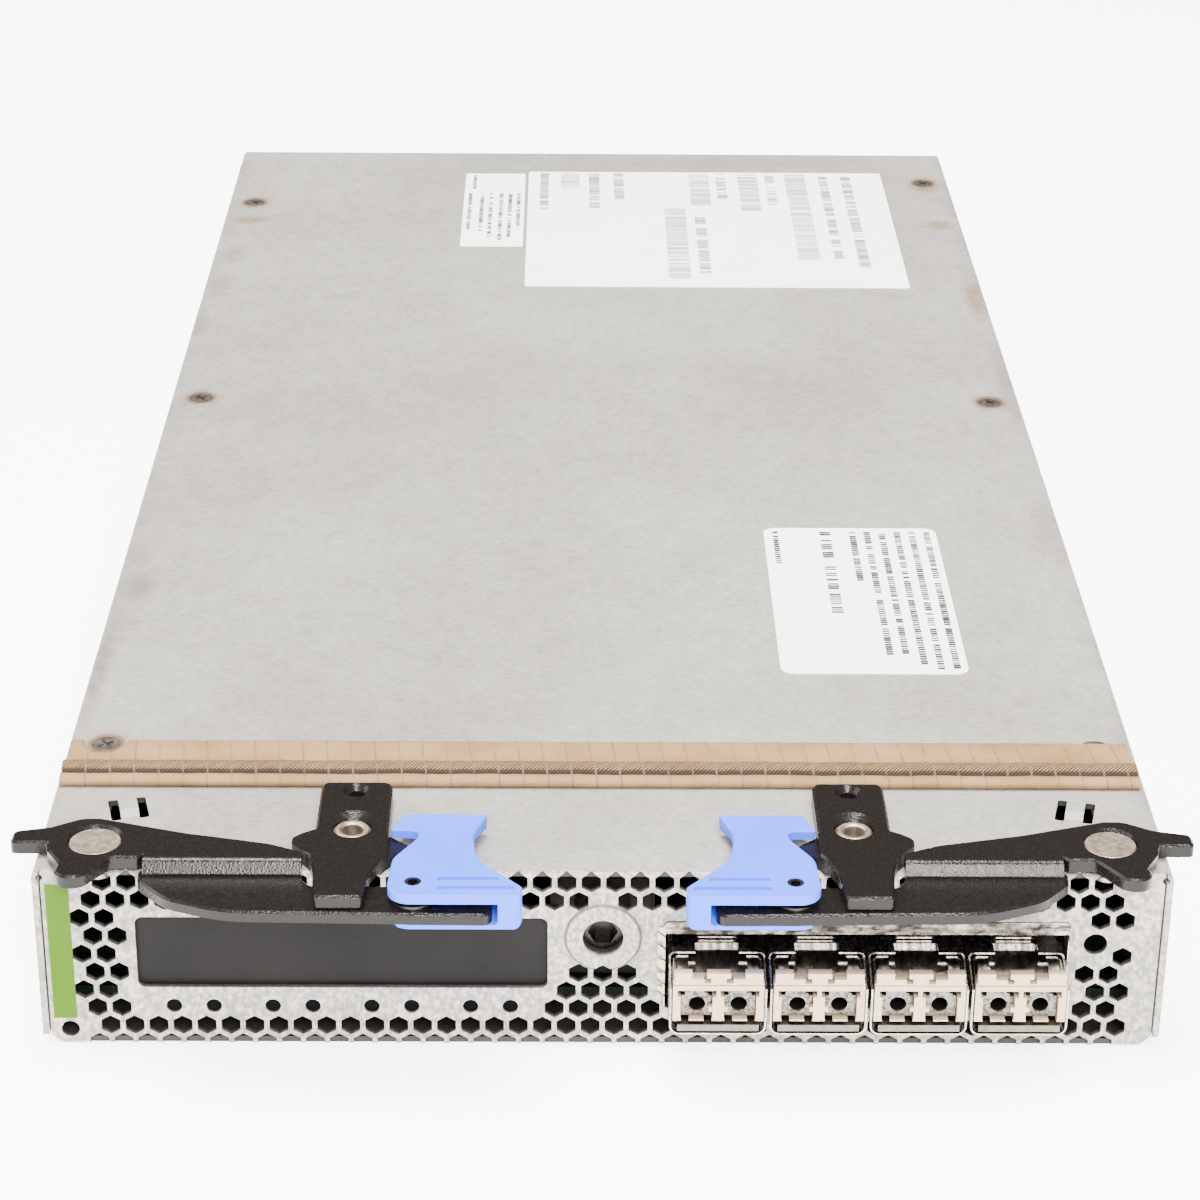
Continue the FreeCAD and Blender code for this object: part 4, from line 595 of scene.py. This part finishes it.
boardLook = {"gloss": 0.06, "rough": 0.5, "bump": (0.2, 0.0001),
             "tracks": {"Color1": (0.0011, 0.0026, 0.0016, 1), "Color2": (0.0015, 0.0036, 0.0022, 1),
                        "Mortar": (0.0032, 0.0062, 0.004, 1), "Scale": 160, "Mortar Size": 0.04}}


def solderMask():                                          # dark lacquer over a grid of tracks
    mat, tree, shader = newMaterial("solderMask", gloss=boardLook["gloss"], Roughness=boardLook["rough"])
    tracks = tree.nodes.new("ShaderNodeTexBrick")
    for key, value in boardLook["tracks"].items():
        tracks.inputs[key].default_value = value
    link(tree, place(tree), tracks.inputs["Vector"])
    link(tree, tracks.outputs["Color"], shader.inputs["Base Color"])
    bump(tree, shader, tracks.outputs["Fac"], *boardLook["bump"])
    return mat


# labels

paperLook = {"fibre": 1800, "fibreShare": 0.6, "fibreBump": (0.08, 0.00005), "scuff": 60,
             "fade": 900, "printRough": 0.6}

papers = {
    "whitePaper": {"tone": (0.93, 0.93, 0.925), "shade": (0.86, 0.855, 0.84), "rough": 0.5, "gloss": 0.3,
                   "nodes": ["label_large", "label_small", "label_notice"]},
    "greenPaper": {"tone": (0.050, 0.105, 0.010), "shade": (0.044, 0.094, 0.008), "rough": 0.8, "gloss": 0.03,
                   "nodes": ["label_green"]},
}

inks = {
    "paleInk": {"pale": (0.25, 0.215, 0.215), "dark": (0.13, 0.115, 0.115), "labels": ["label_large"]},
    "darkInk": {"pale": (0.045, 0.043, 0.043), "dark": (0.018, 0.017, 0.017),
                "labels": ["label_small", "label_notice"]},
}


def paperLabel(name, look):
    mat, tree, shader = newMaterial(name, gloss=look["gloss"], Roughness=look["rough"])
    where = place(tree)
    fibre = noise(tree, where, paperLook["fibre"], 3)
    scuff = noise(tree, where, paperLook["scuff"], 4, 0.6)
    base = mix(tree, look["tone"], look["shade"], ramp(tree, scuff, [(0.5, 0.0), (0.75, 0.6)]))
    base = mix(tree, base, ramp(tree, fibre, [(0.3, 0.95), (0.7, 1.0)]), paperLook["fibreShare"], "MULTIPLY")
    link(tree, base, shader.inputs["Base Color"])
    bump(tree, shader, fibre, *paperLook["fibreBump"])
    return mat


def fadedPrint(name, look):
    mat, tree, shader = newMaterial(name, Roughness=paperLook["printRough"])
    fade = noise(tree, place(tree), paperLook["fade"], 3)
    link(tree, ramp(tree, fade, [(0.35, look["dark"]), (0.65, look["pale"])]), shader.inputs["Base Color"])
    return mat


# rows on each label in millimetres from its rear left corner: across, start, length, bar width
labelPrint = {
    "label_large": {
        "words": [(2.8, 1.5, 25.5, 2.0), (14.4, 1.5, 25.5, 2.5), (20.3, 1.5, 18.5, 2.4), (38.8, 33, 37, 2.5),
                  (44.7, 1.5, 18.5, 2.4), (56.5, 1.5, 22.5, 2.2), (69.4, 3, 57, 2.1), (74.7, 3, 63, 2.4)],
        "stripes": [(7.7, 1.5, 11.5, 4.5), (31.9, 27, 47, 4.9), (38.3, 1.5, 22.5, 4.8), (50.0, 1.5, 27, 4.7),
                    (61.3, 1.5, 59.5, 4.9)]},
    "label_small": {
        "words": [(1.0, 15, 25, 0.9), (3.8, 15, 26, 0.9), (5.9, 15, 30, 0.9), (8.3, 15, 32, 0.9),
                  (10.4, 15, 30, 0.9), (12.4, 15, 22, 0.9), (1.8, 1.5, 9.5, 0.8)]},
    "label_notice": {
        "words": [(29.2, 2, 54, 1.2), (26.5, 2, 54.3, 1.2), (23.8, 2, 52.5, 1.2), (21.0, 2, 49.5, 1.2),
                  (18.3, 2, 49, 1.2), (15.6, 2, 20, 1.2), (10.2, 2, 33, 2.0), (1.6, 2, 13, 1.0)]},
}

barStyle = {"words": {"Pitch": 0.00085, "ShortestBar": 0.5, "LongestBar": 0.98, "Gaps": 0.13},
            "stripes": {"Pitch": 0.00068, "ShortestBar": 0.25, "LongestBar": 0.85, "Gaps": 0.06},
            "lift": 0.00003, "firstSeed": 3}


def blankPrintTree():                                      # each edge of the base mesh becomes a row of bars
    tree, entry, outlet = newTree("blankPrint", [
        ("Pitch", "Float", 0.001), ("Shortest Bar", "Float", 0.4), ("Longest Bar", "Float", 0.9),
        ("Gaps", "Float", 0.1), ("Lift", "Float", 0.00003), ("Seed", "Int", 1), ("Finish", "Material", None)])
    curve = tree.nodes.new("GeometryNodeMeshToCurve")
    points = tree.nodes.new("GeometryNodeCurveToPoints")
    points.mode = "LENGTH"
    link(tree, entry["Geometry"], curve.inputs["Mesh"])
    link(tree, curve.outputs["Curve"], points.inputs["Curve"])
    link(tree, entry["Pitch"], points.inputs["Length"])
    bar = tree.nodes.new("GeometryNodeMeshCube")
    width = tree.nodes.new("GeometryNodeInputNamedAttribute")
    width.inputs["Name"].default_value = "barWidth"
    share = tree.nodes.new("FunctionNodeRandomValue")
    link(tree, entry["Shortest Bar"], share.inputs[2])
    link(tree, entry["Longest Bar"], share.inputs[3])
    link(tree, entry["Seed"], share.inputs["Seed"])
    length = times(tree, share.outputs[1], entry["Pitch"])
    barSize = tree.nodes.new("ShaderNodeCombineXYZ")
    for letter, source in (("X", width.outputs["Attribute"]), ("Y", length), ("Z", entry["Lift"])):
        link(tree, source, barSize.inputs[letter])
    kept = tree.nodes.new("FunctionNodeRandomValue")
    kept.data_type = "BOOLEAN"
    link(tree, minus(tree, 1.0, entry["Gaps"]), kept.inputs["Probability"])
    link(tree, plus(tree, entry["Seed"], 40.0), kept.inputs["Seed"])
    bars = tree.nodes.new("GeometryNodeInstanceOnPoints")
    link(tree, points.outputs["Points"], bars.inputs["Points"])
    link(tree, kept.outputs[3], bars.inputs["Selection"])
    link(tree, bar.outputs["Mesh"], bars.inputs["Instance"])
    link(tree, barSize.outputs["Vector"], bars.inputs["Scale"])
    finishTree(tree, bars.outputs["Instances"], entry["Finish"], outlet)
    return tree


def printRows(label, rows):                                # one edge per row, on the label's upper face
    low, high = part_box(label)
    corners, edges, widths = [], [], []
    for across, start, length, width in rows:
        x = low.x + (across + width / 2) * mm
        rear = high.y - start * mm
        edges.append((len(corners), len(corners) + 1))
        corners += [(x, rear, high.z), (x, rear - length * mm, high.z)]
        widths += [width * mm, width * mm]
    mesh = bpy.data.meshes.new("rows")
    mesh.from_pydata(corners, edges, [])
    mesh.attributes.new("barWidth", "FLOAT", "POINT").data.foreach_set("value", widths)
    return mesh


def printLabels(inkOf):
    tree = blankPrintTree()
    seed = barStyle["firstSeed"]
    for label, kinds in labelPrint.items():
        for kind, rows in kinds.items():
            name = label + "_" + kind
            mesh = grow(tree, printRows(label, rows), name, Lift=barStyle["lift"], Seed=seed,
                        Finish=inkOf[label], **barStyle[kind])
            newPiece(name, mesh)
            seed += 1


# shielding gasket: a flat flap behind, two soft rolls in front

clothLook = {"tan": (0.203, 0.122, 0.053), "pale": (0.272, 0.172, 0.083), "twill": (0.011, 0.0075, 0.0055),
             "line": (0.11, 0.08, 0.065), "gloss": 0.12, "rough": 0.6,
             "weave": 0.0005, "weaveShare": 0.75, "weaveBump": (0.45, 0.00007), "twillPitch": 0.8,
             "twillShare": 0.95, "twillEdges": (-0.7, 0.4), "tones": 120,
             "rollEdges": (-0.0002, 0.0003, -0.0009, -0.0002),
             "creaseEdges": (0.0003, 0.0008), "creaseShare": 0.9, "grid": 0.0038, "gridLean": 0.10,
             "gridWander": 0.0003, "wander": 300, "lineWidth": 0.00015, "lineShare": 0.95, "lineWear": 420,
             "ripple": 260, "rippleStretch": (1, 0.3, 1), "rippleBump": (0.3, 0.0005)}

gasketForm = {"steps": 520, "waver": 0.00012, "flap": 0.0006, "crease": 0.0026, "rearRoll": 0.0038,
              "frontTop": 0.0017, "rearTop": 0.0022, "bite": 0.0036, "dip": 0.55, "seam": 0.0001,
              "flapCorner": 0.0003, "flapStep": 0.0016, "flapRipple": 0.00008, "flapPoints": 4,
              "arcSteps": 11, "rearFullness": 0.7, "frontFullness": 0.6, "tuck": 0.0004,
              "swell": 190, "swellStretch": (1, 0.6, 0), "swellGain": 4.0,
              "drillSides": 40, "drillDepth": 0.02}


def conductiveCloth():
    mat, tree, shader = newMaterial("conductiveCloth", gloss=clothLook["gloss"], Roughness=clothLook["rough"])
    where = place(tree)
    x, y = axis(tree, where, "X"), axis(tree, where, "Y")
    across = tree.nodes.new("ShaderNodeAttribute")
    across.attribute_name = "across"                       # length along the cloth from its rear edge
    down = across.outputs["Fac"]
    pitch = 2 * math.pi / clothLook["weave"]
    warp = maths(tree, "SINE", times(tree, x, pitch))
    weft = maths(tree, "SINE", times(tree, down, pitch))
    weave = times(tree, warp, weft)
    twillLine = maths(tree, "SINE", times(tree, plus(tree, x, down), pitch * clothLook["twillPitch"]))

    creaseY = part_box("emi_gasket")[0].y + gasketForm["crease"]
    rollEnd = creaseY + gasketForm["rearRoll"]
    frontOut, frontIn, rearIn, rearOut = clothLook["rollEdges"]
    onRoll = times(tree, span(tree, y, creaseY + frontOut, creaseY + frontIn),
                   span(tree, y, rollEnd + rearIn, rollEnd + rearOut, 1.0, 0.0))
    tones = noise(tree, where, clothLook["tones"], 3)
    tone = ramp(tree, tones, [(0.3, clothLook["pale"]), (0.7, clothLook["tan"])])
    threads = ramp(tree, maths(tree, "MULTIPLY_ADD", weave, 0.5), [(0.1, 0.35), (0.6, 1.1)])
    base = mix(tree, tone, threads, clothLook["weaveShare"], "MULTIPLY")
    twilled = mix(tree, base, clothLook["twill"], span(tree, twillLine, *clothLook["twillEdges"]))
    base = mix(tree, base, twilled, times(tree, onRoll, clothLook["twillShare"]))
    # painted shade: the crease between the two rolls is darkened with the twill colour
    fromCrease = absolute(tree, minus(tree, y, creaseY))
    creaseShade = span(tree, fromCrease, *clothLook["creaseEdges"], clothLook["creaseShare"], 0.0)
    base = mix(tree, base, clothLook["twill"], creaseShade)

    lean = plus(tree, x, times(tree, y, clothLook["gridLean"]))     # thin stitched lines across the strip
    wander = times(tree, noise(tree, where, clothLook["wander"], 2), clothLook["gridWander"])
    cell = maths(tree, "PINGPONG", plus(tree, lean, wander), clothLook["grid"] / 2)
    worn = ramp(tree, noise(tree, where, clothLook["lineWear"], 2), [(0.38, 0.35), (0.6, 1.0)])
    lined = times(tree, fineLine(tree, cell, clothLook["lineWidth"]), worn)
    base = mix(tree, base, clothLook["line"], times(tree, lined, clothLook["lineShare"]))
    link(tree, base, shader.inputs["Base Color"])
    bump(tree, shader, weave, *clothLook["weaveBump"])
    ripple = noise(tree, place(tree, clothLook["rippleStretch"]), clothLook["ripple"], 2)
    bump(tree, shader, ripple, *clothLook["rippleBump"])
    return mat


def rollArc(frontY, width, rearZ, frontZ, topZ, fullness): # (y, z) over a soft roll, rear foot first
    steps = gasketForm["arcSteps"]
    points = []
    for i in range(1, steps):
        turn = math.pi * i / steps
        foot = rearZ + (frontZ - rearZ) * i / steps
        y = frontY + width / 2 * (1 + math.cos(turn))
        points.append((y, foot + (topZ - foot) * math.sin(turn) ** fullness))
    return points


def gasketSection(low, high):                              # (y, z) round the strip, rear edge first
    form = gasketForm
    front, rear, base = low.y, high.y, low.z
    crease = front + form["crease"]
    flapTop = base + form["flap"]
    dip = base + form["dip"] * form["frontTop"]
    seam = base + form["seam"]
    points = [(rear, seam), (rear, flapTop - form["seam"]), (rear - form["flapCorner"], flapTop)]
    points += [(rear - form["flapStep"] * i, flapTop + form["flapRipple"] * (i % 2))
               for i in range(1, form["flapPoints"] + 1)]
    points += rollArc(crease, form["rearRoll"], flapTop, dip, base + form["rearTop"], form["rearFullness"])
    points.append((crease, dip))
    points += rollArc(front, form["crease"], dip, base, base + form["frontTop"], form["frontFullness"])
    points.append((front + form["tuck"], seam))
    return points


def gasketTree():                                          # carries a closed section along the case
    tree, entry, outlet = newTree("gasketRoll", [
        ("Start", "Vector", None), ("End", "Vector", None), ("Steps", "Int", 400), ("Waver", "Float", 0.0001),
        ("Bite Spot", "Vector", None), ("Bite Radius", "Float", 0.003), ("Finish", "Material", None)])
    section = tree.nodes.new("GeometryNodeMeshToCurve")
    link(tree, entry["Geometry"], section.inputs["Mesh"])
    length = tree.nodes.new("GeometryNodeSplineParameter")
    stored = tree.nodes.new("GeometryNodeStoreNamedAttribute")
    stored.inputs["Name"].default_value = "across"
    link(tree, section.outputs["Curve"], stored.inputs["Geometry"])
    link(tree, length.outputs["Length"], stored.inputs["Value"])
    path = tree.nodes.new("GeometryNodeCurvePrimitiveLine")
    link(tree, entry["Start"], path.inputs["Start"])
    link(tree, entry["End"], path.inputs["End"])
    steps = tree.nodes.new("GeometryNodeResampleCurve")
    link(tree, path.outputs["Curve"], steps.inputs["Curve"])
    link(tree, entry["Steps"], steps.inputs["Count"])
    roll = tree.nodes.new("GeometryNodeCurveToMesh")
    roll.inputs["Fill Caps"].default_value = True
    link(tree, steps.outputs["Curve"], roll.inputs["Curve"])
    link(tree, stored.outputs["Geometry"], roll.inputs["Profile Curve"])

    where = tree.nodes.new("GeometryNodeInputPosition").outputs["Position"]     # the top wavers a little
    long = tree.nodes.new("ShaderNodeVectorMath")
    long.operation = "MULTIPLY"
    long.inputs[1].default_value = gasketForm["swellStretch"]
    link(tree, where, long.inputs[0])
    swell = minus(tree, noise(tree, long.outputs["Vector"], gasketForm["swell"], 2, 0.6), 0.5)
    above = minus(tree, axis(tree, where, "Z"), axis(tree, entry["Start"], "Z"))
    share = maths(tree, "MULTIPLY", above, 1 / mm, clamp=True)             # none at the base
    lift = times(tree, times(tree, swell, share), times(tree, entry["Waver"], gasketForm["swellGain"]))
    offset = tree.nodes.new("ShaderNodeCombineXYZ")
    link(tree, maths(tree, "MINIMUM", lift, entry["Waver"]), offset.inputs["Z"])
    soft = tree.nodes.new("GeometryNodeSetPosition")
    link(tree, roll.outputs["Mesh"], soft.inputs["Geometry"])
    link(tree, offset.outputs["Vector"], soft.inputs["Offset"])

    drill = tree.nodes.new("GeometryNodeMeshCylinder")     # the strip is bitten away round one screw
    drill.inputs["Vertices"].default_value = gasketForm["drillSides"]
    drill.inputs["Depth"].default_value = gasketForm["drillDepth"]
    link(tree, entry["Bite Radius"], drill.inputs["Radius"])
    spot = tree.nodes.new("GeometryNodeTransform")
    link(tree, drill.outputs["Mesh"], spot.inputs["Geometry"])
    link(tree, entry["Bite Spot"], spot.inputs["Translation"])
    bite = tree.nodes.new("GeometryNodeMeshBoolean")
    bite.operation = "DIFFERENCE"
    bite.solver = "EXACT"
    link(tree, soft.outputs["Geometry"], bite.inputs["Mesh 1"])
    link(tree, spot.outputs["Geometry"], bite.inputs["Mesh 2"])
    smooth = tree.nodes.new("GeometryNodeSetShadeSmooth")
    link(tree, bite.outputs["Mesh"], smooth.inputs["Geometry"])
    finishTree(tree, smooth.outputs["Geometry"], entry["Finish"], outlet)
    return tree


def gasketStrip(cloth):
    low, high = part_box("emi_gasket")
    section = gasketSection(low, high)
    # carried along +X, a profile's X comes out as -Y and its Y as -Z
    profile = [(-(y - low.y), -(z - low.z), 0) for y, z in section]
    ring = [(i, (i + 1) % len(profile)) for i in range(len(profile))]
    mesh = bpy.data.meshes.new("section")
    mesh.from_pydata(profile, ring, [])
    spotX, spotY = screwPlaces()[0]
    return grow(gasketTree(), mesh, "gasketStrip", Start=(low.x, low.y, low.z), End=(high.x, low.y, low.z),
                Steps=gasketForm["steps"], Waver=gasketForm["waver"], BiteSpot=(spotX, spotY, high.z),
                BiteRadius=gasketForm["bite"], Finish=cloth)


# dress the CAD nodes

dress(galvanisedSheet(), ["top_cover", "bottom_tray", "panel_bracket"])
dress(pressedFlange(), ["screw_bushing"])
dress(wrinklePaint(), castingLook["nodes"])
dress(moduleBody(), everyPort("transceiver"))
dress(speckledInsert(), everyPort("receptacle"))
dress(springCollar(), ["emi_collar"])
dress(solderMask(), ["circuit_board"])
for maker, looks in ((plainMetal, metals), (mouldedPlastic, plastics), (paperLabel, papers)):
    for name, look in looks.items():
        dress(maker(name, look), look["nodes"])
print("case, castings and ports dressed")

inkOf = {}
for name, look in inks.items():
    ink = fadedPrint(name, look)
    inkOf.update({label: ink for label in look["labels"]})
printLabels(inkOf)
print("labels printed with blank bars")

gasket = newPiece("gasketStrip", gasketStrip(conductiveCloth()))
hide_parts("emi_gasket")
print("gasket laid:", len(gasket.data.polygons), "faces")


# stage, light and camera

studio = {"floor": 6.0, "floorDrop": 0.0002, "floorTones": (0.92, 0.95), "floorRough": 0.8, "floorCloud": 3.0,
          "glow": 3.6, "aim": (0, 0, 0.02),
          "ambient": 0.25, "dome": 0.9, "domeRise": 1.2, "domeFall": 1.3, "domeTone": (1.0, 0.99, 0.975),
          "lampTone": (1.0, 0.97, 0.93)}

lamps = {"keyLight": {"spot": (0.15, -1.35, 1.05), "power": 90, "size": 0.7},
         "sideLight": {"spot": (-1.5, 0.2, 1.1), "power": 30, "size": 1.2},
         "topLight": {"spot": (-0.1, -0.15, 1.5), "power": 90, "size": 0.7}}

cameraSetup = {"lens": 96.13, "sensor": 36, "near": 0.01, "spot": (-0.00563, -0.58301, 0.27608),
               "turn": (64.050, -0.474, -0.426)}


def paleFloor():
    mat, tree, shader = newMaterial("paleFloor", Roughness=studio["floorRough"])
    low, high = studio["floorTones"]
    cloudy = noise(tree, place(tree), studio["floorCloud"])
    link(tree, ramp(tree, cloudy, [(0.2, low), (0.8, high)]), shader.inputs["Base Color"])
    shader.inputs["Emission Color"].default_value = (1, 1, 1, 1)
    shader.inputs["Emission Strength"].default_value = studio["glow"]
    half = studio["floor"] / 2
    corners = [(-half, -half, 0), (half, -half, 0), (half, half, 0), (-half, half, 0)]
    mesh = bpy.data.meshes.new("floor")
    mesh.from_pydata(corners, [], [(0, 1, 2, 3)])
    mesh.materials.append(mat)
    floor = bpy.data.objects.new("floor", mesh)
    floor.location.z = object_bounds()[0].z - studio["floorDrop"]
    bpy.context.scene.collection.objects.link(floor)
    floor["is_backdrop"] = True


def softBox(name, setup):
    lamp = bpy.data.lights.new(name, "AREA")
    lamp.energy = setup["power"]
    lamp.size = setup["size"]
    lamp.color = studio["lampTone"]
    holder = bpy.data.objects.new(name, lamp)
    holder.location = setup["spot"]
    aim = Vector(studio["aim"]) - Vector(setup["spot"])
    holder.rotation_euler = aim.to_track_quat("-Z", "Y").to_euler()
    bpy.context.scene.collection.objects.link(holder)


def softDome():                                            # bright overhead and in front, dim low behind
    world = bpy.data.worlds.new("studio")
    world.use_nodes = True
    tree = world.node_tree
    sky = tree.nodes["Background"]
    sky.inputs["Color"].default_value = (*studio["domeTone"], 1)
    coords = tree.nodes.new("ShaderNodeTexCoord")
    up = axis(tree, coords.outputs["Generated"], "Z")
    behind = axis(tree, coords.outputs["Generated"], "Y")
    rise = maths(tree, "MULTIPLY_ADD", up, studio["domeRise"])
    lift = minus(tree, rise, times(tree, behind, studio["domeFall"]))
    level = maths(tree, "MULTIPLY", lift, studio["dome"], clamp=True)
    link(tree, plus(tree, level, studio["ambient"]), sky.inputs["Strength"])
    bpy.context.scene.world = world


def frontCamera():
    lens = bpy.data.cameras.new("camera")
    lens.lens = cameraSetup["lens"]
    lens.sensor_width = cameraSetup["sensor"]
    lens.clip_start = cameraSetup["near"]
    camera = bpy.data.objects.new("camera", lens)
    camera.location = cameraSetup["spot"]
    camera.rotation_euler = Euler([math.radians(angle) for angle in cameraSetup["turn"]], "XYZ")
    bpy.context.scene.collection.objects.link(camera)
    bpy.context.scene.camera = camera


paleFloor()
for name, setup in lamps.items():
    softBox(name, setup)
softDome()
frontCamera()

print("stage set")
